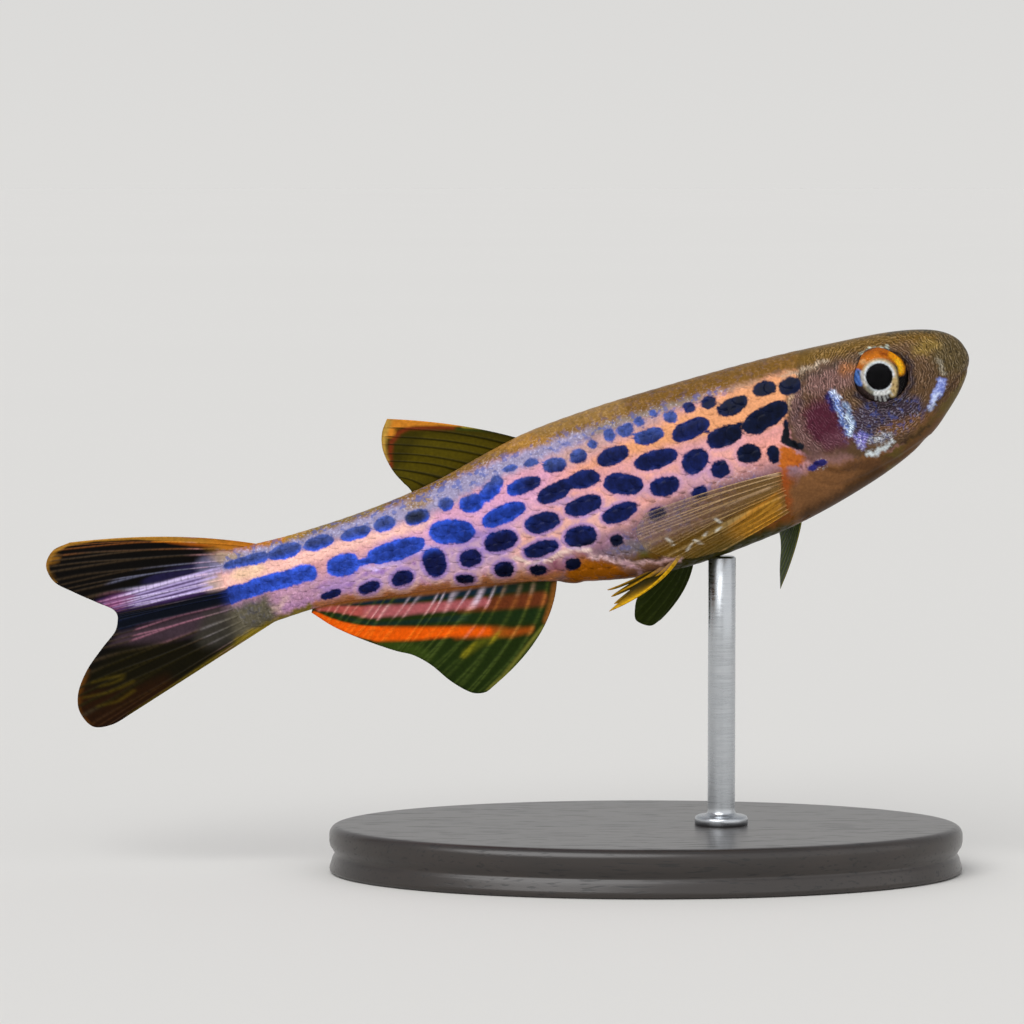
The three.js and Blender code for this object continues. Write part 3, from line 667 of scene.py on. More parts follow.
FOIL = (
    Wash(0.9, Stroke(((8.15, -0.15), (8.08, -1), (8, -2), (7.85, -2.75)), 0.18, 0.2), 0.1),
    Wash(0.8, Stroke(((7.62, -1), (7.55, -1.8), (7.7, -2.5)), 0.14), 0.1),
    Wash(1, Area(GILL_CORNER), 0.14),
    Wash(0.4, Stroke(CHEEK_LINE, 0.19, 0.1), 0.08),
    Wash(0.9, Blob(6.2, -3.5, 0.75, 0.24), 0.2),
    # the silvery speckle on the band along the upper lip: part of its painted highlight
    Wash(0.4, Area((
        (1.5, -1.3), (2.1, -1.05), (2.45, -1.6), (2.85, -2.15), (3.3, -2.7), (3, -2.85), (2.3, -2.3),
        (1.55, -1.75),
    )), 0.1),
    Wash(0.7, Blob(10.15, -3.98, 0.6, 0.3), 0.1),
)
HALO = (
    Wash(0.35, Area(((14, -1.2), (36, -0.6), (42, -2.6), (34, -5), (24, -5), (19, -3.4), (14, -3.4))), 0.8),
    Wash(0.9, Area((
        (21.5, -2.6), (30, -2.4), (38, -2.4), (38, -4), (31, -5), (25.5, -5), (21.5, -3),
    )), 0.6),
)
STREAK = (
    Wash(0.75, Area((
        (4, 2), (9, 1.7), (18, 1.95), (25, 1.85), (30, 1.5), (34, 1), (42, 0.6), (42, 7), (4, 7),
    )), 0.3),
    Wash(0.7, Area(((40, 0.9), (47, 1.5), (47, -0.1), (40, -0.1))), 0.3),
    Wash(0.8, Area(((39.8, -2.3), (48, -2.1), (48, -4.4), (42.5, -3.8), (40.2, -3.2))), 0.4),
)
LEVELS = {"whorl": WHORL, "glitter": GLITTER, "halo": HALO, "streak": STREAK, "foil": FOIL}
# the waves that shift s, and those that shift h: height, turns along s and along h, and start
WANDER = (
    ((0.06, 2.3, 7.1, 0), (0.045, -9.1, 17.3, 0), (0.03, 19, 21, 0)),
    ((0.06, 6.3, -3.1, 1.3), (0.045, 15.7, 11.9, 0), (0.03, 23, -17, 0)),
)


def spot_depth(s: Array, h: Array) -> Array:
    """How far inside a dark spot each place lies, with close spots run together."""
    deepest = np.full(s.shape, FAR_OUTSIDE)
    for mark in SPOTS + STRIPES:
        depth = mark.depth(s, h) + SPOT_CREEP
        share = np.clip(0.5 + 0.5 * (depth - deepest) / SPOT_JOIN, 0.0, 1.0)
        deepest = deepest + (depth - deepest) * share + SPOT_JOIN * share * (1.0 - share)
    return deepest


def wander(s: Array, h: Array) -> tuple[Array, Array]:
    """Places shifted a little by crossed waves, so that the washes laid there get uneven edges."""
    ds, dh = (sum(high * np.sin(a * s + b * h + c) for high, a, b, c in waves) for waves in WANDER)
    return s + ds, h + dh


def skin_colours(s: Array, h: Array) -> tuple[Array, Array, Array]:
    """The skin's ground colour, the colour of its spots, and how deep inside a spot each place lies."""
    return lay(NET, GROUND + HEAD_GROUND, *wander(s, h)), lay(DEEP_INK, INK, s, h), spot_depth(s, h)


class Store(Enum):
    """How a mesh keeps numbers for each vertex: the attribute's type, and the name of its numbers."""

    LEVEL = ("FLOAT", "value")
    COLOUR = ("FLOAT_COLOR", "color")
    VECTOR = ("FLOAT_VECTOR", "vector")


def write(mesh: Mesh, name: str, values: Array, store: Store = Store.LEVEL) -> None:
    """Stores a level, a colour or a vector for each vertex of a mesh.

    Args:
        mesh: The mesh.
        name: The attribute's name.
        values: A number, or a row of three, for each vertex.
        store: What is stored.
    """
    kind, numbers = store.value
    if store is Store.COLOUR:
        values = np.column_stack([values, np.ones(len(values))])
    mesh.attributes.new(name, kind, "POINT").data.foreach_set(numbers, values.astype(np.float32).ravel())


def points_of(mesh: Mesh) -> Array:
    """A mesh's vertices as rows of x, y and z."""
    flat = np.empty(len(mesh.vertices) * 3, np.float32)
    mesh.vertices.foreach_get("co", flat)
    return flat.reshape(-1, 3).astype(float)


def paint_skin(mesh: Mesh) -> None:
    """Writes the fish's own markings to a mesh, wherever it lies, so that skin and scales agree."""
    s, h = FISH.seen(points_of(mesh))
    ground, ink, spot = skin_colours(s, h)
    write(mesh, "ground", ground, Store.COLOUR)
    write(mesh, "ink", ink, Store.COLOUR)
    write(mesh, "spot", spot)
    write(mesh, "from_eye", np.hypot(s - EYE_OPENING.s, h - EYE_OPENING.h))
    for name, washes in LEVELS.items():
        write(mesh, name, lay(0.0, washes, s, h))


def grid_faces(rows: int, columns: int, closed: bool = False) -> Array:
    """The four-sided faces of a grid of points, joined round its columns if it is closed."""
    across = np.arange(columns if closed else columns - 1)
    row, column = np.meshgrid(np.arange(rows - 1), across, indexing="ij")
    start = (row * columns + column).ravel()
    ahead = (row * columns + (column + 1) % columns).ravel()
    return np.column_stack([start, ahead, ahead + columns, start + columns])


def rim_of(rows: int, columns: int) -> list[int]:
    """The points round the edge of a grid, starting along its first row."""
    return [
        *range(columns),
        *(row * columns + columns - 1 for row in range(1, rows)),
        *((rows - 1) * columns + column for column in range(columns - 2, -1, -1)),
        *(row * columns for row in range(rows - 2, 0, -1)),
    ]


def tube_faces(rows: int, around: int) -> list[list[int]]:
    """The faces of a row of rings, closed by two poles that are the last two points."""
    faces = grid_faces(rows, around, closed=True).tolist()
    pole, last = rows * around, (rows - 1) * around
    steps = [(t, (t + 1) % around) for t in range(around)]
    faces += [[pole, ahead, t] for t, ahead in steps]
    return faces + [[pole + 1, last + t, last + ahead] for t, ahead in steps]


def turned_out(points: Array, faces: list[list[int]]) -> list[list[int]]:
    """Turns the faces of a closed shape outwards.

    Args:
        points: Its points.
        faces: Its faces, all turned the same way.

    Returns:
        The same faces, reversed if they pointed inwards.
    """
    thirds = [(face[0], face[at], face[at + 1]) for face in faces for at in range(1, len(face) - 1)]
    corners = np.array(thirds)
    a, b, c = (points[corners[:, at]] for at in range(3))
    volume = np.einsum("ij,ij->i", a, np.cross(b, c)).sum()
    return faces if volume > 0 else [face[::-1] for face in faces]


def add_object(name: str, data: ID) -> Object:
    """Adds an object to the scene."""
    made = bpy.data.objects.new(name, data)
    bpy.context.scene.collection.objects.link(made)
    return made


def make_piece(name: str, points: Array, faces: list[list[int]]) -> Object:
    """Makes a smooth closed object from points in metres, with its faces outwards."""
    mesh = bpy.data.meshes.new(name)
    mesh.from_pydata(points.tolist(), [], turned_out(points, faces))
    mesh.shade_smooth()
    return add_object(name, mesh)


def settle(piece: Object, nodes: tuple[str, ...], finish: Material) -> None:
    """Gives a piece its finish and ties it to the frame.

    Args:
        piece: The finished piece.
        nodes: The CAD nodes that it stands for.
        finish: Its material.
    """
    if not piece.data.materials:
        piece.data.materials.append(finish)
    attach(piece, BODY)
    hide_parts(*nodes)
    LOG.info("%s: %d faces", piece.name, len(piece.data.polygons))


def feed(node: Node, inputs: dict[str | int, Signal]) -> None:
    """Sets a node's inputs, or links them.

    Args:
        node: The node.
        inputs: For each input by name or number a value, a socket, or a node for its first output in use.
    """
    for key, value in inputs.items():
        if isinstance(value, Node):
            value = next(socket for socket in value.outputs if socket.enabled)
        if isinstance(value, NodeSocket):
            node.id_data.links.new(value, node.inputs[key])
        else:
            node.inputs[key].default_value = value


def add_node(tree: NodeTree, kind: str, *inputs: Signal, **named: Signal) -> Node:
    """Adds a node with its settings and links.

    Args:
        tree: The tree that it goes into.
        kind: The node's type, without its first word if that is ShaderNode.
        inputs: What goes into the inputs in use, in their order.
        named: Its own properties, in lower case, and inputs by their names, which start with a capital.

    Returns:
        The node.
    """
    node = tree.nodes.new(kind if "Node" in kind else "ShaderNode" + kind)
    for name, value in named.items():
        if name[0].islower():
            setattr(node, name, value)
    feed(node, dict(zip([at for at, socket in enumerate(node.inputs) if socket.enabled], inputs)))
    feed(node, {name: value for name, value in named.items() if name[0].isupper()})
    return node


@dataclass(frozen=True)
class Finish:
    """A surface made in nodes that read the object's own coordinates and what is written on its mesh."""

    name: str

    def sockets(self, add: Adder, place: NodeSocket) -> dict[str, Signal]:
        """What goes into the shader's inputs, by their names.

        Args:
            add: Adds a node to the material.
            place: The object's coordinates.

        Returns:
            The inputs.
        """
        raise NotImplementedError

    def material(self) -> Material:
        """Builds the node material."""
        made = bpy.data.materials.new(self.name)
        made.use_nodes = True
        add = partial(add_node, made.node_tree)
        feed(made.node_tree.nodes["Principled BSDF"], self.sockets(add, add("TexCoord").outputs["Object"]))
        return made


@dataclass(frozen=True)
class WetFishSkin(Finish):
    """Living fish skin under a film of mucus: pigment cells over silvery platelets.

    It gives the eye soft wet gloss, a grain of single pigment cells, fine whorled lines on the head
    round the eye, streaks across the back, a speckle of lavender platelets on the upper flank, and
    dark spots with feathered edges.
    """

    name: str = "wet_spotted_fish_skin"
    grain_per_mm: float = 7.0  # pigment cells are finer, and are drawn as coarse as they show
    cloud_per_mm: float = 1.2
    patch_per_mm: float = 2.6
    feather_per_mm: float = 5.0
    streaks_per_mm: Triple = (6.5, 2.2, 2.2)
    whorl_mm: float = 0.165
    whorl_sway_mm: float = 0.55
    bright: float = 2.3
    dim: float = 0.18
    lift: float = 0.026
    edge_mm: float = 0.22  # how far the fine noise moves a spot's edge
    edge_sway_mm: float = 0.34  # how far the broad noise moves it
    rough: tuple[float, float] = (0.34, 0.5)
    relief_mm: float = 0.02
    water_ior: float = 1.36  # mucus and water over skin

    def sockets(self, add: Adder, place: NodeSocket) -> dict[str, Signal]:
        """What goes into the shader's inputs, by their names."""
        ground, ink = (add("Attribute", attribute_name=name).outputs["Color"] for name in ("ground", "ink"))
        spot, from_eye, rim, halo, lined, glitter, streak, foil = (
            add("Attribute", attribute_name=name).outputs["Fac"]
            for name in ("spot", "from_eye", "rim", "halo", "whorl", "glitter", "streak", "foil")
        )
        grain, cloud, patch, feather = (
            add("TexNoise", Vector=place, Scale=per_mm * PER_MM, Detail=detail)
            for per_mm, detail in (
                (self.grain_per_mm, 2.0), (self.cloud_per_mm, 3.0), (self.patch_per_mm, 3.0),
                (self.feather_per_mm, 3.0),
            )
        )
        level = add(
            "Mapping", vector_type="TEXTURE", Vector=place, Rotation=(0.0, -FISH.pitch, 0.0),
            Scale=tuple(1 / count for count in self.streaks_per_mm),
        )
        across = add("TexNoise", Vector=level, Scale=PER_MM, Detail=2.0)

        tone = add("MapRange", grain, 0.3, 0.7, 0.84, 1.16)
        wide = add("MapRange", cloud, 0.3, 0.7, 0.9, 1.1)
        tone = add("Math", tone, wide, operation="MULTIPLY")
        # the rear rims of the scales are darkened a little here: painted shade
        shade = add("Math", rim, -0.05, 1.0, operation="MULTIPLY_ADD")
        lit = add("Math", tone, shade, operation="MULTIPLY")
        base = add("VectorMath", ground, lit, operation="SCALE")

        swayed = add("Math", patch, self.whorl_sway_mm, from_eye, operation="MULTIPLY_ADD")
        wave = add("Math", add("Math", swayed, TURN / self.whorl_mm, operation="MULTIPLY"), operation="SINE")
        broken = add("MapRange", feather, 0.37, 0.58, interpolation_type="SMOOTHSTEP")
        whorl = add("Math", broken, lined, operation="MULTIPLY")
        bright, dim = (
            add("VectorMath", base, (gain,) * 3, (self.lift * gain,) * 3, operation="MULTIPLY_ADD")
            for gain in (self.bright, self.dim)
        )
        # each row: the tint, the signal that it follows from one level to another, its strength and its mask
        rows = [
            (bright, wave, 0.05, 0.9, 0.7, whorl),
            (dim, wave, -0.15, -0.9, 0.8, whorl),
            (bright, across, 0.54, 0.7, 0.32, streak),
            (dim, across, 0.46, 0.3, 0.3, streak),
            (opaque("#c9cbe6"), grain, 0.56, 0.7, 0.5, glitter),
            (opaque("#3c56a6"), patch, 0.48, 0.38, 0.7, glitter),
            (opaque("#e0e8f4"), grain, 0.5, 0.66, 0.6, foil),
            (opaque("#28306a"), feather, 0.5, 0.38, 0.55, foil),
        ]
        ragged = add("Math", feather, self.edge_mm, -self.edge_mm / 2, operation="MULTIPLY_ADD")
        bent = add("Math", cloud, self.edge_sway_mm, -self.edge_sway_mm / 2, operation="MULTIPLY_ADD")
        depth = add("Math", add("Math", spot, ragged), bent)
        rows += [
            (opaque("#f4ccc4"), depth, -0.6, -0.34, 0.5, halo),
            (opaque("#8a70c4"), depth, -0.34, -0.06, 0.75, halo),
        ]
        for tint, signal, start, stop, strength, mask in rows:
            cover = add("MapRange", signal, start, stop, 0.0, strength, interpolation_type="SMOOTHSTEP")
            cover = add("Math", cover, mask, operation="MULTIPLY")
            base = add("Mix", cover, base, tint, data_type="RGBA")

        heart = add("MapRange", depth, 0.02, 0.42, 1.35, 0.7)
        heart = add("Math", heart, add("MapRange", patch, 0.36, 0.66, 0.72, 1.5), operation="MULTIPLY")
        heart = add("Math", heart, lit, operation="MULTIPLY")
        cover = add("MapRange", depth, *SPOT_EDGE, 0.0, 1.0, interpolation_type="SMOOTHSTEP")
        base = add("Mix", cover, base, add("VectorMath", ink, heart, operation="SCALE"), data_type="RGBA")
        ridge = add("Math", wave, whorl, operation="MULTIPLY")
        height = add("Math", ridge, 0.3, grain, operation="MULTIPLY_ADD")
        return {
            "Base Color": base,
            "Roughness": add("MapRange", grain, 0.3, 0.7, *self.rough),
            "Normal": add("Bump", Strength=0.3, Distance=self.relief_mm * MM, Height=height),
            "IOR": self.water_ior, "Specular IOR Level": 0.12, "Coat Weight": 0.03, "Coat Roughness": 0.12,
        }


@dataclass(frozen=True)
class RayedFin(Finish):
    """A fish's fin: jointed bony rays with thin skin stretched between them, wet and slightly glossy.

    It gives the eye fine ribs that fork towards the edge, small cross joints along each rib, and a
    smoother film between. A clear film lets what lies behind show through.
    """

    clear: bool = False
    joint_mm: float = 0.42
    grain_per_mm: float = 5.0
    relief_mm: float = 0.03

    def sockets(self, add: Adder, place: NodeSocket) -> dict[str, Signal]:
        """What goes into the shader's inputs, by their names."""
        film, rib = (add("Attribute", attribute_name=name).outputs["Color"] for name in ("film", "rib"))
        ray, along, solid = (
            add("Attribute", attribute_name=name).outputs["Fac"] for name in ("ray", "along", "solid")
        )
        grain = add("TexNoise", Vector=place, Scale=self.grain_per_mm * PER_MM, Detail=2.0)
        tone = add("MapRange", grain, 0.3, 0.7, 0.85, 1.15)
        turn = add("Math", along, TURN / self.joint_mm, operation="MULTIPLY")
        wave = add("Math", turn, operation="COSINE")
        joint = add("MapRange", wave, 0.55, 1.0, 1.0, 0.72)
        mixed = add("Mix", ray, film, add("VectorMath", rib, joint, operation="SCALE"), data_type="RGBA")
        relief = add("Math", joint, ray, operation="MULTIPLY")
        return {
            "Base Color": add("VectorMath", mixed, tone, operation="SCALE"),
            "Normal": add("Bump", Strength=0.4, Distance=self.relief_mm * MM, Height=relief),
            "Roughness": 0.42, "IOR": 1.36, "Specular IOR Level": 0.08,
            "Alpha": solid if self.clear else 1.0,
        }


@dataclass(frozen=True)
class PaintedEye(Finish):
    """A fish's eye: a metallic iris of guanine platelets round a black pupil, wet all over.

    It gives the eye fine grain in the iris and a soft, faint shine; the sharp wet shine comes from the clear
    dome over it.
    """

    name: str = "guanine_iris"
    grain_per_mm: float = 7.0

    def sockets(self, add: Adder, place: NodeSocket) -> dict[str, Signal]:
        """What goes into the shader's inputs, by their names."""
        ground = add("Attribute", attribute_name="ground").outputs["Color"]
        grain = add("TexNoise", Vector=place, Scale=self.grain_per_mm * PER_MM, Detail=3.0)
        tone = add("MapRange", grain, 0.3, 0.7, 0.7, 1.25)
        return {
            "Base Color": add("VectorMath", ground, tone, operation="SCALE"),
            "Normal": add("Bump", Strength=0.2, Distance=0.01 * MM, Height=grain),
            "Roughness": 0.45, "Specular IOR Level": 0.06,
        }


@dataclass(frozen=True)
class ClearCornea(Finish):
    """The clear wet dome over the iris, which gives the eye its depth and glassy rim."""

    name: str = "clear_cornea"

    def sockets(self, add: Adder, place: NodeSocket) -> dict[str, Signal]:
        """What goes into the shader's inputs, by their names."""
        film = add("TexNoise", Vector=place, Scale=3.0 * PER_MM)
        rough = add("MapRange", film, 0.0, 1.0, 0.01, 0.05)
        return {"Roughness": rough, "Transmission Weight": 1.0, "IOR": 1.1}


@dataclass(frozen=True)
class EbonisedBeech(Finish):
    """Beech stained black and lacquered satin, as on a cabinet stand: dark, with faint open grain."""

    name: str = "ebonised_beech_satin_lacquer"
    fleck_mm: Triple = (2.2, 0.16, 0.16)
    ring_mm: Triple = (25.0, 2.0, 2.0)

    def sockets(self, add: Adder, place: NodeSocket) -> dict[str, Signal]:
        """What goes into the shader's inputs, by their names."""
        pore, ring = (
            add("TexNoise", Detail=detail, Scale=1.0, Vector=add(
                "Mapping", Vector=place, Scale=tuple(PER_MM / long for long in size),
            ))
            for size, detail in ((self.fleck_mm, 2.0), (self.ring_mm, 3.0))
        )
        base = add("Mix", ring, opaque("#15110f"), opaque("#332a25"), data_type="RGBA")
        open_pore = add("MapRange", pore, 0.58, 0.68, 0.0, 0.7, interpolation_type="SMOOTHSTEP")
        return {
            "Base Color": add("Mix", open_pore, base, opaque("#060505"), data_type="RGBA"),
            "Roughness": add("MapRange", open_pore, 0.0, 1.0, 0.32, 0.55),
            "Normal": add("Bump", Strength=0.35, Distance=0.02 * MM, Height=open_pore, invert=True),
            "Coat Weight": 0.35, "Coat Roughness": 0.25,
        }


@dataclass(frozen=True)
class BrushedSteel(Finish):
    """Stainless steel rod drawn through emery: fine lines round it and a soft bright streak."""

    name: str = "brushed_stainless_steel"
    lines_per_mm: Triple = (0.6, 0.6, 9.0)

    def sockets(self, add: Adder, place: NodeSocket) -> dict[str, Signal]:
        """What goes into the shader's inputs, by their names."""
        drawn = add("Mapping", Vector=place, Scale=tuple(lines * PER_MM for lines in self.lines_per_mm))
        line = add("TexNoise", Vector=drawn, Scale=1.0, Detail=3.0)
        return {
            "Base Color": add("Mix", line, opaque("#a9adb2"), opaque("#cdd0d3"), data_type="RGBA"),
            "Roughness": add("MapRange", line, 0.3, 0.7, 0.22, 0.4),
            "Normal": add("Bump", Strength=0.15, Distance=0.01 * MM, Height=line),
            "Metallic": 1.0,
        }


@dataclass(frozen=True)
class PaleBoard(Finish):
    """A matt painted board for the studio's floor: pale, and a little uneven in tone."""

    name: str = "matt_pale_board"

    def sockets(self, add: Adder, place: NodeSocket) -> dict[str, Signal]:
        """What goes into the shader's inputs, by their names."""
        soft = add("TexNoise", Vector=place, Scale=4.0, Detail=2.0)
        return {
            "Base Color": add("Mix", soft, opaque("#dedcd8"), opaque("#e0deda"), data_type="RGBA"),
            "Roughness": 0.9,
        }


LIP = ((-0.3, -0.8), (0.5, -1.2), (1.9, -2.15), (3.1, -2.85))
CREASES = (
    # each row: how wide, how high (a groove if below zero), and the path on the head or belly
    (0.16, 0.06, ((8.25, -0.1), (8.05, -1.2), (7.95, -2.2), (7.7, -3.1), (7.0, -3.9), (5.6, -4.1))),
    (0.1, -0.06, ((8.5, -0.1), (8.32, -1.2), (8.2, -2.3), (7.95, -3.3), (7.2, -4.3))),
    (0.3, 0.07, LIP),
    (0.09, -0.2, LIP),
    (0.14, -0.05, ((3.1, -2.85), (3.9, -3.5), (4.9, -4.0))),
    (0.1, -0.06, ((3.4, -4.25), (5.6, -4.95), (7.6, -5.4), (9.3, -5.5), (10.4, -5.0), (10.9, -4.2))),
    (0.16, -0.03, ((2.3, -1.0), (3.0, -2.0), (3.9, -2.75), (5.0, -3.1), (6.2, -2.95))),
    (0.13, 0.06, ((6.2, 1.5), (5.4, 1.72), (4.5, 1.5), (3.8, 0.95))),
    (0.18, 0.05, ((24.7, -4.8), (24.1, -5.4), (23.0, -6.1), (21.2, -6.6), (19.4, -7.0))),
)
NOSTRILS = ((2.05, 0.78), (2.6, 0.98))
FIN_BASE = Stroke(((11.9, -3.8), (12.2, -4.8), (12.5, -5.9)), 0.35)
VENT = Blob(25.9, -6.7, 0.5, 0.35)
U_START, U_SPAN = 0.02, 0.96  # where the skin lies on its unwrap, along the body
V_START, V_SPAN = 0.03, 0.94  # and once round it


@dataclass
class Skin:
    """One closed skin over head, trunk and tail stem, with gill covers, lips and sockets in relief."""

    grow: float = -0.05
    around: int = 176
    snout_steps: int = 16
    head_steps: int = 178
    tail_steps: int = 222
    head_end: float = 11.5
    length: float = 45.3
    stem_start: float = 43.6
    stem_end: float = 44.6
    end_narrowing: float = 0.84
    end_flattening: float = 0.3
    pole_reach: tuple[float, float] = (-0.004, 0.04)
    pole_u: tuple[float, float] = (0.012, 0.988)
    cover_mm: float = 0.13
    cover_groove_mm: float = 0.07
    cover_rim_mm: float = 0.05
    socket_mm: float = 0.62
    lid_mm: float = 0.09
    nostril_mm: float = 0.16
    nostril_rim_mm: float = 0.035
    swelling_mm: float = 0.12
    places: Array = field(default_factory=lambda: np.zeros(0))
    points: Array = field(default_factory=lambda: np.zeros(0))

    def stations(self) -> Array:
        """Distances behind the snout, closest together on the snout and head."""
        snout = 0.5 * (np.arange(self.snout_steps) / self.snout_steps) ** 2
        head = np.linspace(0.5, self.head_end, self.head_steps, endpoint=False)
        return np.concatenate([snout, head, np.linspace(self.head_end, self.length, self.tail_steps)])

    def rings(self) -> Array:
        """The plain surface as a grid of s, y and h."""
        rows = []
        for s in self.places:
            ring = FORM.ring(min(s, self.stem_end), self.around, self.grow * min(1.0, s / 0.3))
            share = max(0.0, s - self.stem_start) / (self.length - self.stem_start)
            middle = ring[:, 1].mean()
            ring[:, 0] *= 1.0 - self.end_narrowing * share
            ring[:, 1] = middle + (ring[:, 1] - middle) * (1.0 - self.end_flattening * share**3)
            rows.append(np.column_stack([np.full(self.around, s), ring]))
        return np.array(rows)

    def relief(self, s: Array, h: Array, y: Array) -> Array:
        """How far the real skin stands out from the plain surface, in millimetres."""
        cover = GILL_COVER.depth(s, h)
        crisp = 0.08 + 0.55 * (1.0 - smooth(7.6, 9.2, s))
        rear = smooth(8.0, 9.4, s)
        made = self.cover_mm * smooth(0.0, 1.0, (cover + 0.04) / crisp)
        made -= self.cover_groove_mm * rear * hump(cover + 0.14, 0.1)
        made += self.cover_rim_mm * rear * hump(cover - 0.22, 0.16)
        for wide, high, path in CREASES:
            made += high * hump(np.minimum(Stroke(path, 0.0).depth(s, h), 0.0), wide)
        socket = EYE_OPENING.depth(s, h)
        made += self.lid_mm * hump(socket + 0.13, 0.13) - self.socket_mm * smooth(0.0, 0.14, socket)
        for s0, h0 in NOSTRILS:
            reach = np.hypot(s - s0, (h - h0) * 1.1)
            made -= self.nostril_mm * smooth(0.19, 0.07, reach)
            made += self.nostril_rim_mm * hump(reach - 0.24, 0.07)
        made += self.swelling_mm * smooth(-0.3, 0.3, FIN_BASE.depth(s, h))
        made += self.swelling_mm * smooth(-0.35, 0.2, VENT.depth(s, h)) * smooth(1.2, 0.3, np.abs(y))
        return made

    def build(self) -> Object:
        """Makes the skin with its unwrap and its markings."""
        self.places = self.stations()
        plain = self.rings()
        down = np.gradient(plain, axis=0)
        round_it = np.roll(plain, -1, axis=1) - np.roll(plain, 1, axis=1)
        normal = np.cross(round_it, down)
        normal /= np.maximum(np.linalg.norm(normal, axis=2, keepdims=True), 1e-9)
        middle = plain.mean(axis=1, keepdims=True)
        outward = np.sign(((plain - middle) * normal)[..., 1:].sum(axis=2, keepdims=True))
        s, h = FISH.seen(FISH.place(plain))
        lift = self.relief(s, h, plain[..., 1].ravel()) * smooth(-0.1, 1.2, plain[..., 0].ravel())
        self.points = plain + normal * outward * lift.reshape(plain.shape[:2])[..., None]
        poles = [
            [s + past, 0.0, float(ring[:, 2].mean())]
            for s, past, ring in zip((0.0, self.length), self.pole_reach, (self.points[0], self.points[-1]))
        ]
        points = np.vstack([self.points.reshape(-1, 3), poles])
        skin = make_piece("skin", FISH.place(points), tube_faces(len(self.places), self.around))
        self.unwrap(skin.data)
        paint_skin(skin.data)
        return skin

    def unwrap(self, mesh: Mesh) -> None:
        """Lays the skin out flat: along the body one way, and once round from the belly seam the other."""
        corner = np.empty(len(mesh.loops), np.int32)
        mesh.loops.foreach_get("vertex_index", corner)
        rows, around = len(self.places), self.around
        row, turn = np.minimum(corner // around, rows - 1), (corner % around) / around
        totals = np.empty(len(mesh.polygons), np.int32)
        mesh.polygons.foreach_get("loop_total", totals)
        owner = np.repeat(np.arange(len(totals)), totals)
        widest = np.zeros(len(totals))
        np.maximum.at(widest, owner, turn)
        turn = np.where((turn < 0.25) & (widest[owner] > 0.75), turn + 1.0, turn)
        u, v = self.flat(self.places[row], turn)
        pole = corner >= rows * around
        sum_turn, count = np.zeros(len(totals)), np.zeros(len(totals))
        np.add.at(sum_turn, owner[~pole], v[~pole])
        np.add.at(count, owner[~pole], 1.0)
        v = np.where(pole, (sum_turn / np.maximum(count, 1.0))[owner], v)
        u = np.where(corner == rows * around, self.pole_u[0], u)
        u = np.where(corner == rows * around + 1, self.pole_u[1], u)
        layer = mesh.uv_layers.new(name=BAKE_MAP)
        layer.uv.foreach_set("vector", np.column_stack([u, v]).astype(np.float32).ravel())

    def flat(self, s: Array, turn: Array) -> tuple[Array, Array]:
        """A place on the unwrap, from a distance behind the snout and a share of a turn."""
        return U_START + U_SPAN * s / self.length, V_START + V_SPAN * turn


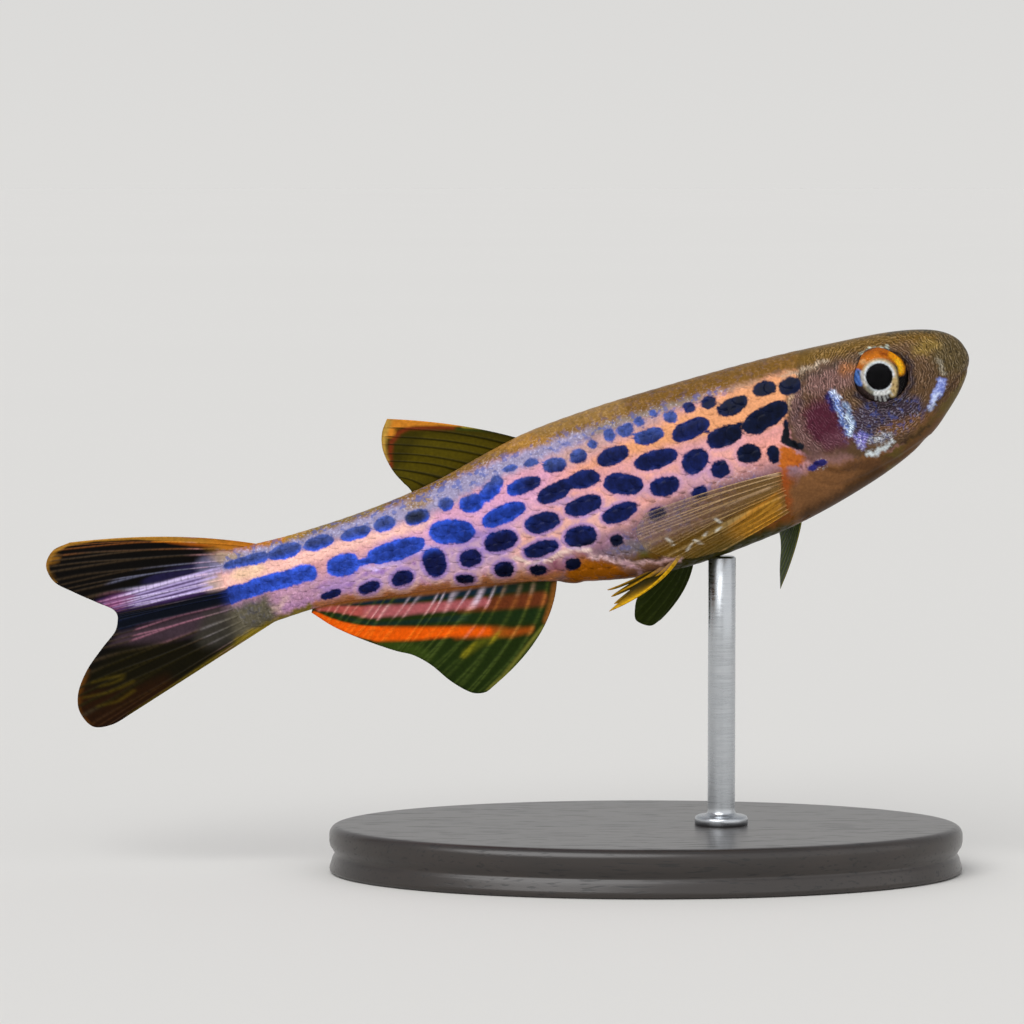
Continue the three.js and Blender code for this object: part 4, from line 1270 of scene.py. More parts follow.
@dataclass
class ScaleCoat:
    """Small round scales laid like tiles over the skin, each one sunk in front and lifted behind."""

    skin: Skin
    rows: int = 28
    first_s: float = 8.8
    last_s: float = 43.9
    pitch_front: float = 1.0
    pitch_rear: float = 0.68
    overlap: float = 1.34
    lift: float = 0.009
    sink: float = 0.03
    crown: float = 0.003
    tuck: float = 0.005
    thickness: float = 0.008
    long: int = 6
    wide: int = 5
    turn: float = 0.06
    uneven: float = 0.04
    u_limits: tuple[float, float] = (0.021, 0.979)  # just inside the unwrap's edges
    v_limits: tuple[float, float] = (0.9699, 0.0301)
    seed: int = 11
    gill_edge: Line = (
        (-9, 10.6), (-5.6, 11.4), (-4.4, 12.9), (-3.0, 12.5), (-1.9, 12.0), (-0.6, 11.6), (0.4, 11.0),
        (1.2, 10.4), (2.2, 9.4), (4, 8.8),
    )

    def roots(self) -> tuple[Array, Array]:
        """Where each scale grows on the unwrap, and its pitch there.

        Returns:
            Rows of the two unwrap places, and rows of the two pitches on the unwrap.
        """
        roots, reaches = [], []
        heights, edges = zip(*self.gill_edge)
        s = self.first_s
        while s < self.last_s:
            share = (s - self.first_s) / (self.last_s - self.first_s)
            pitch = self.pitch_front + (self.pitch_rear - self.pitch_front) * share
            for row in range(self.rows):
                at = s + 0.5 * pitch * (row % 2)
                turn = (row + 0.5) / self.rows
                ring = self.skin.points[np.searchsorted(self.skin.places, at) - 1]
                h = ring[int(turn * self.skin.around), 2]
                if np.interp(h, heights, edges) < at < self.last_s:
                    roots.append(self.skin.flat(at, turn))
                    reaches.append((U_SPAN * pitch / self.skin.length, V_SPAN / self.rows))
            s += pitch
        return np.array(roots), np.array(reaches)

    def plate(self) -> Object:
        """One scale, one pitch long and wide, with its thickness in metres."""
        long, wide = self.long, self.wide
        t, w = np.meshgrid(np.linspace(0, 1, long + 1), np.linspace(-1, 1, wide + 1), indexing="ij")
        rear = 1.0 - 0.36 * np.abs(w) ** 2.4
        reach = t * rear
        x = (reach - 0.36) * self.overlap
        y = w * 0.56 * (1.0 - 0.12 * (1 - t) ** 2)
        crown = -self.sink + (self.sink + self.lift) * smooth(0.0, 0.62, reach) + self.crown * (1 - w**2)
        crown -= (self.lift + self.tuck) * smooth(0.8, 1.0, reach / rear)
        top = np.stack([x, y, crown * MM], -1).reshape(-1, 3)
        rim = rim_of(long + 1, wide + 1)
        points = np.vstack([top, top[rim] - np.array([0.0, 0.0, self.thickness * MM])])
        base, count = len(top), len(rim)
        faces = grid_faces(long + 1, wide + 1).tolist()
        for at in range(count):
            ahead = (at + 1) % count
            faces.append([rim[ahead], rim[at], base + at, base + ahead])
        faces.append([base + at for at in range(count - 1, -1, -1)])
        mesh = bpy.data.meshes.new("scale_plate")
        mesh.from_pydata(points.tolist(), [], turned_out(points * (1, 1, PER_MM), faces))
        mesh.polygons.foreach_set("use_smooth", [at < long * wide for at in range(len(faces))])
        ends, sides = (np.concatenate([grid.ravel(), grid.ravel()[rim]]) for grid in (t, w))
        # rim: where a scale's rear edge lies, darkened a little by the skin's material as painted shade
        write(mesh, "rim", smooth(0.72, 1.0, ends))
        cell = np.column_stack([0.98 * (ends - 0.5), 0.49 * sides, np.zeros(len(ends))])
        write(mesh, "cell", cell, Store.VECTOR)
        return bpy.data.objects.new("scale_plate", mesh)

    def tree(self) -> NodeTree:
        """The node tree that sets a plate at each root and wraps all of them on the skin."""
        tree = bpy.data.node_groups.new("scale_coat", "GeometryNodeTree")
        for name, kind in (
            ("Roots", "Geometry"), ("Skin", "Object"), ("Plate", "Object"), ("Finish", "Material"),
            ("Turn", "Float"), ("Uneven", "Float"), ("Seed", "Int"),
        ):
            tree.interface.new_socket(name, in_out="INPUT", socket_type=f"NodeSocket{kind}")
        tree.interface.new_socket("Coat", in_out="OUTPUT", socket_type="NodeSocketGeometry")
        add = partial(add_node, tree)
        given = add("NodeGroupInput").outputs
        skin, plate = (
            add("GeometryNodeObjectInfo", Object=given[name]).outputs["Geometry"]
            for name in ("Skin", "Plate")
        )
        reach, root, cell, layout = (
            add("GeometryNodeInputNamedAttribute", data_type="FLOAT_VECTOR", Name=name)
            for name in ("reach", "root", "cell", BAKE_MAP)
        )
        least = add("Math", given["Turn"], -1.0, operation="MULTIPLY")
        turn = add("FunctionNodeRandomValue", least, given["Turn"], data_type="FLOAT", Seed=given["Seed"])
        low, high = (add("Math", 1.0, given["Uneven"], operation=way) for way in ("SUBTRACT", "ADD"))
        later = add("Math", given["Seed"], 1.0, operation="ADD")
        uneven = add("FunctionNodeRandomValue", low, high, data_type="FLOAT", Seed=later)
        laid = add(
            "GeometryNodeInstanceOnPoints", Points=given["Roots"], Instance=plate,
            Rotation=add("CombineXYZ", Z=turn), Scale=add("VectorMath", reach, uneven, operation="SCALE"),
        )
        inset = add("VectorMath", cell, reach, root, operation="MULTIPLY_ADD")
        whole = add(
            "GeometryNodeStoreNamedAttribute", data_type="FLOAT2", domain="CORNER", Name=BAKE_MAP,
            Value=inset, Geometry=add("GeometryNodeRealizeInstances", laid),
        )
        u, v, rise = add("SeparateXYZ", add("GeometryNodeInputPosition")).outputs
        inside = add("Clamp", u, *self.u_limits)
        spot = add("CombineXYZ", inside, add("Math", v, *self.v_limits, operation="WRAP"))
        seat, lean = (
            add("GeometryNodeSampleUVSurface", skin, add(kind), layout, spot, data_type="FLOAT_VECTOR")
            for kind in ("GeometryNodeInputPosition", "GeometryNodeInputNormal")
        )
        risen = add("VectorMath", add("VectorMath", lean, operation="NORMALIZE"), rise, operation="SCALE")
        goal = add("VectorMath", seat, risen, operation="ADD")
        whole = add("GeometryNodeSetPosition", whole, Position=goal)
        add("NodeGroupOutput", add("GeometryNodeSetMaterial", whole, Material=given["Finish"]))
        return tree

    def build(self, skin: Object, finish: Material) -> Object:
        """Grows the coat on the finished skin.

        Args:
            skin: The skin, with its unwrap.
            finish: The material of skin and scales.

        Returns:
            The coat as one plain mesh.
        """
        roots, reaches = self.roots()
        mesh = bpy.data.meshes.new("scale_roots")
        mesh.from_pydata(np.column_stack([roots, np.zeros(len(roots))]).tolist(), [], [])
        write(mesh, "root", np.column_stack([roots, np.zeros(len(roots))]), Store.VECTOR)
        write(mesh, "reach", np.column_stack([reaches, np.ones(len(roots))]), Store.VECTOR)
        seeds = add_object("scale_roots", mesh)
        modifier = seeds.modifiers.new("coat", "NODES")
        modifier.node_group = self.tree()
        values = {
            "Skin": skin, "Plate": self.plate(), "Finish": finish, "Turn": self.turn, "Uneven": self.uneven,
            "Seed": self.seed,
        }
        for item in modifier.node_group.interface.items_tree:
            if item.in_out == "INPUT" and item.name in values:
                modifier[item.identifier] = values[item.name]
        graph = bpy.context.evaluated_depsgraph_get()
        made = bpy.data.meshes.new_from_object(seeds.evaluated_get(graph))
        seeds.modifiers.remove(modifier)
        bpy.data.objects.remove(seeds)
        bpy.data.objects.remove(values["Plate"])
        made.name = "scales"
        for name in ("root", "reach", "cell"):
            if name in made.attributes:
                made.attributes.remove(made.attributes[name])
        coat = add_object("scales", made)
        paint_skin(made)
        LOG.info("scales: %d plates", len(roots))
        return coat


EYE_GROUND = "#241c20"
IRIS = (
    # orange above, redder inside and golden in front
    Wash("#b4621c", Stroke(((6.35, 0.85), (5.75, 1.2), (4.95, 1.3), (4.3, 1), (3.95, 0.6)), 0.34), 0.12),
    Wash("#dc7c1a", Stroke(((5.8, 1.08), (5.1, 1.18), (4.5, 1.02)), 0.16), 0.16),
    Wash("#8a3a10", Stroke(((4.8, 1.2), (4.35, 0.98), (4.15, 0.74)), 0.1), 0.1, 0.85),
    Wash("#f09a10", Stroke(((4.22, 0.95), (3.95, 0.5), (3.86, 0.1), (4, -0.3)), 0.2, 0.16), 0.1),
    Wash("#fcc21e", Stroke(((4.02, 0.55), (3.93, 0.2), (3.98, -0.1)), 0.12), 0.1),
    Wash("#eab070", Blob(5.95, 1.04, 0.2, 0.14), 0.1, 0.85),
    Wash("#c8742c", Blob(6.22, 0.98, 0.16, 0.1), 0.1, 0.8),
    # black in front below, brown behind below
    Wash("#0b090b", Area(((4.35, -0.32), (3.2, -0.3), (3.2, -1.2), (4.3, -1.4))), 0.12),
    Wash("#3c2e2c", Area(((6.9, -0.2), (6.2, -0.3), (5.9, -0.9), (5.6, -1.7), (6.6, -1.7))), 0.14),
    # blue behind
    Wash("#5f8ada", Blob(6.43, 0.24, 0.3, 0.5, power=2), 0.08),
    Wash("#10182c", Stroke(((6.38, 0.62), (6.3, 0.1)), 0.04), 0.05, 0.8),
    Wash("#2c4a9c", Stroke(((6.6, 0.4), (6.5, -0.15)), 0.05), 0.05, 0.8),
    # the pale ring, soft outside and white against the pupil
    Wash("#e6cc98", Blob(5.28, -0.05, 1.03, 1.03, power=2), 0.12),
    Wash("#e2e8ee", Blob(5.28, -0.05, 0.92, 0.92, power=2), 0.08),
    Wash("#c8c4bc", Stroke(((6.18, 0.45), (6.22, 0), (6.05, -0.45)), 0.1), 0.08, 0.8),
    Wash("#868c84", Stroke(((6.08, -0.5), (5.85, -0.85)), 0.13), 0.1, 0.8),
    Wash("#d6ba80", Stroke(((4.48, -0.5), (4.62, -0.95), (4.8, -1.25)), 0.18), 0.1),
    *(
        Wash("#7a5426", Blob(s, h, 0.05, 0.07), 0.05, 0.85)
        for s, h in ((4.62, -0.72), (4.46, -0.9), (4.7, -1.08))
    ),
    Wash("#f8faf8", Stroke(((5.75, -0.93), (5.35, -1.02), (5, -1.04)), 0.13), 0.06),
    *(
        Wash("#d8dad8", Stroke(((s, -1.05), (s + lean, end)), width), 0.045, 0.85)
        for s, lean, end, width in (
            (5.78, 0.06, -1.28, 0.04), (5.58, 0.03, -1.42, 0.06), (5.34, 0, -1.5, 0.065),
            (5.17, -0.03, -1.36, 0.04), (4.93, -0.1, -1.3, 0.05),
        )
    ),
    Wash("#030204", Blob(5.28, -0.05, 0.785, 0.785, power=2), 0.02),
)


@dataclass
class Eye:
    """A flattened ball set in its socket, turned a little forward and up, under a clear dome."""

    side: Side
    out: float = 1.82
    radius: float = 1.72
    bulge: float = 1.02
    lift: float = 0.05
    forward: float = math.radians(9.0)
    up: float = math.radians(7.0)
    rings: int = 84
    around: int = 150
    pole: float = 0.03
    dome_reach: float = math.radians(78)
    dome_inset: float = 0.02
    dome_out: float = 0.13

    def seat(self, points: Array) -> Array:
        """Sets points round the eye's own middle in their place in the head."""
        side = self.side.value
        x, y, z = points.T
        cos, sin = math.cos(self.up), math.sin(self.up) * side
        y, z = y * cos - z * sin, y * sin + z * cos
        cos, sin = math.cos(self.forward), -math.sin(self.forward) * side
        x, y = x * cos - y * sin, x * sin + y * cos
        s, h = FISH.facing(EYE_OPENING.s, EYE_OPENING.h + self.lift, side * (self.out + self.bulge))
        return FISH.place(np.column_stack([s - x, side * self.out + y, h + z]))

    def ball(self, name: str, radius: float, bulge: float, reach: float) -> Object:
        """A flattened ball, or the outer part of one.

        Args:
            name: The piece's name.
            radius: Half its width in side view.
            bulge: Half its thickness.
            reach: The angle from the outward pole to its edge.

        Returns:
            The piece.
        """
        turns = np.arange(self.around) / self.around * TURN
        polar, turn = np.meshgrid(np.linspace(self.pole, reach, self.rings), turns, indexing="ij")
        out, wide = self.side.value * bulge, radius * np.sin(polar)
        grid = np.stack([wide * np.cos(turn), out * np.cos(polar), wide * np.sin(turn)], -1).reshape(-1, 3)
        points = np.vstack([grid, [[0.0, out, 0.0], [0.0, out * math.cos(reach), 0.0]]])
        return make_piece(name, self.seat(points), tube_faces(self.rings, self.around))

    def build(self, iris: Material, clear: Material) -> None:
        """Makes the ball and the dome over it."""
        side = self.side.name.lower()
        ball = self.ball(f"eye_ball_{side}", self.radius, self.bulge, math.pi - self.pole)
        write(ball.data, "ground", lay(EYE_GROUND, IRIS, *FISH.seen(points_of(ball.data))), Store.COLOUR)
        settle(ball, (f"eye_{side}",), iris)
        inset, out = self.radius - self.dome_inset, self.bulge + self.dome_out
        settle(self.ball(f"eye_cornea_{side}", inset, out, self.dome_reach), (f"eye_{side}",), clear)


@dataclass
class Fin:
    """A fin of forking rays between a root line and a margin, with a thin film stretched between them.

    Root and margin are given as s and h, with y where they stand off the middle plane. The film and the
    ribs have a plain colour each, and washes over it in side view or in the fin's own length and width.
    """

    name: str
    nodes: tuple[str, ...]
    slot: str
    root: Line
    margin: Line
    rays: int
    bow: tuple[float, ...]
    film: str
    rib: str
    film_washes: tuple[Wash, ...] = ()
    rib_washes: tuple[Wash, ...] = ()
    lean: float = 0.45
    clear_root: float = 1.0
    clear_margin: float = 1.0
    chart: Chart = Chart.SIDE_VIEW
    stops: tuple[Line, ...] = ()
    notch: float = 0.0
    film_half: float = 0.07
    ray_half: float = 0.06
    least_half: float = 0.012
    ripple: float = 0.05
    waves: float = 2.2
    rows: int = 60
    per_ray: int = 12
    ray_width: float = 0.13
    edge_width: float = 0.16
    fork_at: float = 0.7
    fork: float = 0.17
    uneven: float = 0.15
    ray_fade: float = 0.45
    takes_skin: bool = False

    def lines(self, v: Array) -> tuple[Array, Array]:
        """The root and margin points for each share v of the fin's width."""
        root, margin = (
            np.array([(s, h, y[0] if y else 0.0) for s, h, *y in line]) for line in (self.root, self.margin)
        )
        at_root, at_margin = v * (len(root) - 1), v * (len(margin) - 1)
        if self.stops:
            at_root, at_margin = (np.interp(v, self.stops[0], stop) for stop in self.stops[1:])
        start, end = through(root, at_root), through(margin, at_margin)
        between = 1.0 - np.abs(np.cos(math.pi * v * (self.rays - 1)))
        return start, end + (start - end) * (self.notch * between)[:, None]

    def ray_mask(self, u: Array, v: Array) -> Array:
        """How much of a bony ray there is at each place, from 0 on the film to 1 on a ray."""
        x = v * (self.rays - 1)
        sway = 0.42 * np.sin(2.7 * x) + 0.3 * np.sin(1.3 * x + 3.0 * u) + 0.12 * np.sin(9.0 * u + 1.9 * x)
        x = x + self.uneven * np.sin(math.pi * v) * sway
        off = np.abs(x - np.round(x))
        off = np.abs(off - self.fork * smooth(self.fork_at, self.fork_at + 0.4, u))
        ray = hump(off, self.ray_width * (1.0 - 0.4 * u))
        ray *= 1.0 - self.uneven * (0.5 + 0.5 * np.sin(4.7 * np.round(x) + 2.2 * u))
        return np.maximum(ray, 0.9 * hump(np.minimum(x, self.rays - 1 - x), self.edge_width))

    def surface(self, u: Array, v: Array) -> Array:
        """The fin's middle surface as a grid of s, h and y."""
        root, margin = self.lines(v)
        along = margin - root
        aside = np.column_stack([along[:, 1], -along[:, 0], np.zeros(len(v))])
        aside /= np.linalg.norm(aside, axis=1, keepdims=True)
        bow = np.interp(v, np.linspace(0, 1, len(self.bow)), self.bow)
        bent = root + along * self.lean + aside * bow[:, None]
        t = u[:, None, None]
        return (1 - t) ** 2 * root + 2 * t * (1 - t) * bent + t * t * margin

    def colours(self, points: Array, u: Array, v: Array) -> tuple[Array, Array]:
        """The film's and the ribs' colour at each place."""
        s, h = FISH.seen(points) if self.chart is Chart.SIDE_VIEW else (u * OWN_SIZE, v * OWN_SIZE)
        film, rib = lay(self.film, self.film_washes, s, h), lay(self.rib, self.rib_washes, s, h)
        if self.takes_skin:
            ground, ink, spot = skin_colours(s, h)
            skin = ground + (ink - ground) * smooth(*SPOT_EDGE, spot)[:, None]
            film = film + (skin - film) * smooth(46.0, 44.7, s)[:, None]
            rib = rib + (skin * 1.06 - rib) * smooth(47.2, 44.9, s)[:, None]
        return film, rib

    def half_thickness(self, u: Array, v: Array, ray: Array) -> Array:
        """Half the sheet's thickness, thin on the film and thinner still towards its border."""
        half = (self.film_half + self.ray_half * ray) * (1.0 - 0.6 * u**2.5)
        border = np.minimum(np.minimum(v, 1 - v) * (self.rays - 1) * 6.0, (1 - u) * 30.0)
        return np.maximum(half * np.sqrt(np.clip(border, 0.0, 1.0)), self.least_half)

    def build(self) -> None:
        """Makes the fin as a closed sheet with its rays in relief."""
        columns = (self.rays - 1) * self.per_ray + 1
        u, v = np.linspace(0, 1, self.rows), np.linspace(0, 1, columns)
        world = FISH.place(self.surface(u, v)[..., [0, 2, 1]])
        normal = np.cross(np.gradient(world, axis=0), np.gradient(world, axis=1))
        normal /= np.maximum(np.linalg.norm(normal, axis=2, keepdims=True), 1e-12)
        grid_u, grid_v = np.meshgrid(u, v, indexing="ij")
        ray = self.ray_mask(grid_u, grid_v)
        wave = self.ripple * grid_u**1.4 * np.sin(TURN * (self.waves * grid_v + 0.35 * grid_u))
        centre = world + normal * (wave * MM)[..., None]
        out = normal * (self.half_thickness(grid_u, grid_v, ray) * MM)[..., None]
        front, behind = grid_faces(self.rows, columns), self.rows * columns
        faces = front.tolist() + (front[:, ::-1] + behind).tolist()
        edge = rim_of(self.rows, columns)
        for start, ahead in zip(edge, edge[1:] + edge[:1]):
            faces.append([ahead, start, start + behind, ahead + behind])
        points = np.vstack([(centre + out).reshape(-1, 3), (centre - out).reshape(-1, 3)])
        fin = make_piece(self.name, points, faces)
        film, rib = self.colours(world, grid_u.ravel(), grid_v.ravel())
        root, margin = self.lines(v)
        clear = self.clear_root + (self.clear_margin - self.clear_root) * smooth(0.0, 0.8, grid_u)
        solid = np.maximum(clear, smooth(0.14, 0.0, grid_u))
        solid = solid + (1.0 - solid) * ray * (0.9 - self.ray_fade * smooth(0.3, 1.0, grid_u))
        along = grid_u * np.linalg.norm(margin - root, axis=1)
        for name, values in (("film", film), ("rib", rib)):
            write(fin.data, name, np.vstack([values, values]), Store.COLOUR)
        for name, values in (("ray", ray), ("solid", solid), ("along", along)):
            write(fin.data, name, np.vstack([values, values]))
        finish = RayedFin(f"{self.name}_bone_and_film", clear=min(self.clear_root, self.clear_margin) < 1.0)
        settle(fin, self.nodes, finish.material())


def on_flank(side: Side, s: float, h: float, inside: float) -> Triple:
    """A root point sunk in the flank."""
    return s, h, side.value * (FORM.width_at(s, h) - inside)


def on_belly(s: float, y: float, inside: float) -> Triple:
    """A root point sunk in the belly."""
    return s, FORM.belly_at(s, y) + inside, y


def beside(s: float, h: float, out: float) -> Triple:
    """A margin point standing off the right flank."""
    widest = float(FORM.section(s)[0])
    return s, h, -(0.4 * FORM.width_at(s, h) + 0.6 * widest + out)


DORSAL_LINE = ((26.2, 2.9), (27.4, 3.3), (29.3, 4))
DORSAL_FIN = Fin(
    name="dorsal_fin_rayed", nodes=("dorsal_fin",), slot="olive_fin",
    root=((25.6, 1.9), (27.6, 1.6), (30, 1.1), (33.3, 0.6)),
    margin=((33.45, 5.68), (33.95, 5), (34.18, 4.2), (34.15, 3.4), (33.95, 2.6), (33.55, 1.75)),
    rays=9, bow=(-0.6, -0.3), film="#342d02", rib="#1c1a02", per_ray=18, ray_width=0.12, fork_at=1.2,
    film_washes=(
        Wash("#483e03", Area(((27, 2.2), (33.5, 1.2), (33.9, 2.6), (31.5, 4.2), (29, 3.3))), 0.5),
        Wash("#2e3a10", Stroke(((26.8, 2.95), (28.4, 3.5), (29.8, 4)), 0.07), 0.08, 0.8),
        Wash("#6e2a10", Stroke((
            (29.9, 4.1), (31.2, 4.5), (32.4, 4.82), (33, 4.72), (33.6, 4.3), (33.9, 3.6), (34.05, 3),
        ), 0.1, 0.14), 0.14),
        Wash("#c47a24", Stroke((
            (29.4, 4.15), (30.6, 4.62), (32, 5.05), (33.3, 5.3), (33.55, 4.9),
        ), 0.12, 0.34), 0.1),
        Wash("#8a7c2a", Stroke(DORSAL_LINE, 0.06, 0.1), 0.07),
        Wash("#b08a3c", Stroke((
            (33.45, 5.5), (33.85, 4.9), (34.1, 4.3), (34.15, 3.7), (34.1, 3.3),
        ), 0.2, 0.08), 0.12),
    ),
    rib_washes=(
        Wash("#6a2a10", Stroke(((29.9, 4.1), (31.2, 4.5), (32.4, 4.82), (33.2, 4.6)), 0.14), 0.14),
        Wash("#c8822c", Stroke(((28.8, 3.95), (30.6, 4.64), (32, 5.1), (33.4, 5.5)), 0.14, 0.3), 0.1),
        Wash("#8a7c2a", Stroke(DORSAL_LINE, 0.08, 0.1), 0.07),
        Wash("#a87c34", Stroke(((33.3, 5.4), (33.9, 4.9), (34.1, 4.2), (34.15, 3.4)), 0.24, 0.1), 0.14),
    ),
)
ORANGE_REAR = ((40.7, -4), (40.06, -4.64), (39.44, -5.15), (38.5, -5.71), (37.5, -6.17))
DARK_LINE = (
    (39.5, -4.45), (38.34, -5.17), (37.36, -5.6), (35.32, -6.1), (34.26, -6.3), (33.21, -6.52), (32, -6.8),
)
FRONT_EDGE = ((26.8, -6.3), (27.3, -7.3), (27.9, -8.2))
LOWER_EDGE = ((28.2, -8.5), (29.9, -9.7), (31.2, -10.6), (32.2, -11.1))
ANAL_ROOT = ((26.6, -5.6), (30, -5.1), (34, -4.5), (37, -3.9), (40.4, -3.45))
ANAL_FIN = Fin(
    name="anal_fin_rayed", nodes=("anal_fin",), slot="orange_fin",
    root=((26.5, -5.8), (30, -4.9), (34, -4.3), (37, -3.6), (40.6, -3.1)),
    margin=(
        (31.9, -11.04), (32.42, -11.26), (33.05, -11.16), (33.5, -10.85), (34.26, -10.02), (35.05, -8.85),
        (35.87, -8.03), (36.85, -7.45), (38.65, -6.15), (40, -5), (40.9, -3.95),
    ),
    stops=(
        (0, 0.05, 0.14, 0.25, 0.53, 0.75, 1), (0, 0.15, 0.55, 1, 2, 3, 4),
        (0, 1.6, 3.7, 5, 7.4, 8.6, 10),
    ),
    rays=22, bow=(1.7, 1, 0.5, 0.15, 0.1, 0.1, 0.1), lean=0.4, film="#1a2806", rib="#3c4a1a",
    per_ray=9, ray_width=0.17, fork_at=0.6, uneven=0.55,
    film_washes=(
        Wash("#2c3c0c", Blob(36.2, -7.5, 1.6, 0.5, -35), 0.4),
        Wash("#6a3018", Stroke((
            (32.4, -5.95), (30.9, -6.3), (29.3, -6.6), (27.8, -6.9),
        ), 0.36, 0.42), 0.2, 0.85),
        Wash("#5c5c10", Stroke(((32.9, -8.7), (31.4, -8.2), (30.4, -8.2)), 0.2), 0.2, 0.6),
        Wash("#a0480e", Stroke((
            (33, -7.4), (31, -7.95), (30, -8.3), (28.9, -8.45),
        ), 0.38, 0.14), 0.2, 0.8),
        Wash("#de5402", Stroke(ORANGE_REAR, 0.14, 0.42), 0.07),
        Wash("#de5402", Stroke((
            (37.5, -6.17), (35.5, -6.75), (34.46, -7), (33.43, -7.23), (31.3, -7.85),
        ), 0.42, 0.22), 0.16),
        Wash("#12261a", Stroke(DARK_LINE, 0.06, 0.2), 0.08),
        Wash("#16280c", Stroke(((32, -6.85), (30, -7.35), (28.2, -7.75)), 0.24, 0.4), 0.16),
        Wash("#a84e48", Stroke(((40.4, -3.8), (39.6, -4), (38.4, -4.5), (37.2, -4.93)), 0.12, 0.33), 0.1),
        Wash("#a4565a", Stroke((
            (37.6, -4.8), (35.6, -5.27), (34, -5.58), (32.4, -5.9), (31, -6.14),
        ), 0.34, 0.22), 0.16),
        Wash("#0c2430", Stroke((
            (39.1, -3.9), (37, -4.36), (35.46, -4.7), (33.87, -4.94), (32.28, -5.22), (30.7, -5.5),
            (29.1, -5.8),
        ), 0.08, 0.26), 0.08),
        Wash("#1c2a14", Stroke(((29.4, -5.75), (28, -6.1), (27, -6.3)), 0.22), 0.14, 0.8),
        Wash("#7c4c1c", Stroke(FRONT_EDGE, 0.16), 0.14),
        Wash("#6a6a28", Stroke(LOWER_EDGE, 0.09), 0.1),
        Wash("#9a5c2c", Stroke(ANAL_ROOT, 0.3), 0.16),
    ),
    rib_washes=(
        Wash("#a8602c", Stroke((
            (32.4, -5.95), (30.9, -6.3), (29.4, -6.6), (27.8, -6.9),
        ), 0.34, 0.45), 0.2, 0.9),
        Wash("#b06a2a", Stroke(((32.6, -7.5), (31, -7.95), (30, -8.3), (28.9, -8.45)), 0.36, 0.25), 0.2),
        Wash("#a8981c", Stroke(((33, -8.7), (31.6, -8.3), (30.4, -8.3)), 0.26), 0.16, 0.8),
        Wash("#ee6c12", Stroke(ORANGE_REAR, 0.14, 0.42), 0.07),
        Wash("#ee6c12", Stroke((
            (37.5, -6.17), (35.5, -6.75), (34.46, -7), (33.43, -7.23), (31.6, -7.75),
        ), 0.42, 0.26), 0.16),
        Wash("#d07458", Blob(32.1, -7.65, 0.7, 0.3), 0.16, 0.8),
        Wash("#344828", Stroke(DARK_LINE, 0.05, 0.16), 0.08),
        Wash("#d8887c", Stroke(((40.4, -3.8), (39.6, -4), (38.4, -4.52), (37.2, -4.96)), 0.14, 0.4), 0.1),
        Wash("#dc9c9c", Stroke((
            (37.2, -4.96), (35.6, -5.3), (34, -5.58), (32.4, -5.9), (30.9, -6.2),
        ), 0.4, 0.3), 0.14),
        Wash("#d8c8dc", Area((
            (30.2, -5.4), (35.4, -4.62), (35.6, -4.9), (33.4, -5.4), (31.4, -6.2), (30.4, -5.9),
        )), 0.25, 0.85),
        Wash("#a0826a", Stroke(((29.8, -5.9), (28, -6.2)), 0.3), 0.2, 0.8),
        Wash("#92602a", Stroke(FRONT_EDGE, 0.2), 0.14),
        Wash("#7a7834", Stroke(LOWER_EDGE, 0.11), 0.1),
        Wash("#9a5c2c", Stroke(ANAL_ROOT, 0.3), 0.16),
    ),
)
GOLD_EDGE = Stroke((
    (42.2, 0.8), (44.56, 1.44), (47.28, 2.46), (49.41, 3.2), (51.78, 3.76), (53.3, 3.94), (54.3, 3.74),
    (54.95, 3.05), (54.7, 2.05),
), 0.17, 0.07)
NAVY_BAND = Area((
    (44.5, -1.2), (49, -1.12), (51.9, -0.75), (52.1, -1.4), (51.8, -1.9), (49, -1.92), (44.5, -2.12),
))
VIOLET_STREAKS = tuple(
    Wash("#c2b0e4", Stroke(path, 0.07, 0.02), 0.08, 0.9)
    for path in (
        ((45.2, 0.1), (47.6, 0.18), (51.6, 0.2)), ((45, -0.1), (48, -0.04), (52.3, 0)),
        ((45.6, -0.32), (48.4, -0.26), (51.2, -0.16)), ((46.2, -0.56), (48.6, -0.5), (51.9, -0.34)),
        ((46, -0.82), (48.6, -0.74), (50.6, -0.6)),
    )
)
GOLD_STREAKS = tuple(
    Wash("#64530e", Stroke(path, 0.01, 0.05), 0.16, 0.45)
    for path in (
        ((54.3, -4.2), (53.4, -4.2), (52.4, -4.3)),
        ((55, -4.9), (53.55, -5.02), (52.6, -4.93), (51.9, -4.8)),
        ((54.3, -5.62), (53.15, -5.68), (52.1, -5.36)), ((53.9, -4.55), (53.1, -4.56), (52.5, -4.48)),
    )
)
LOWER_LOBE = ((41, -3.7), (43.44, -3.9), (47.32, -5.08), (50.11, -5.95), (52.67, -6.7))
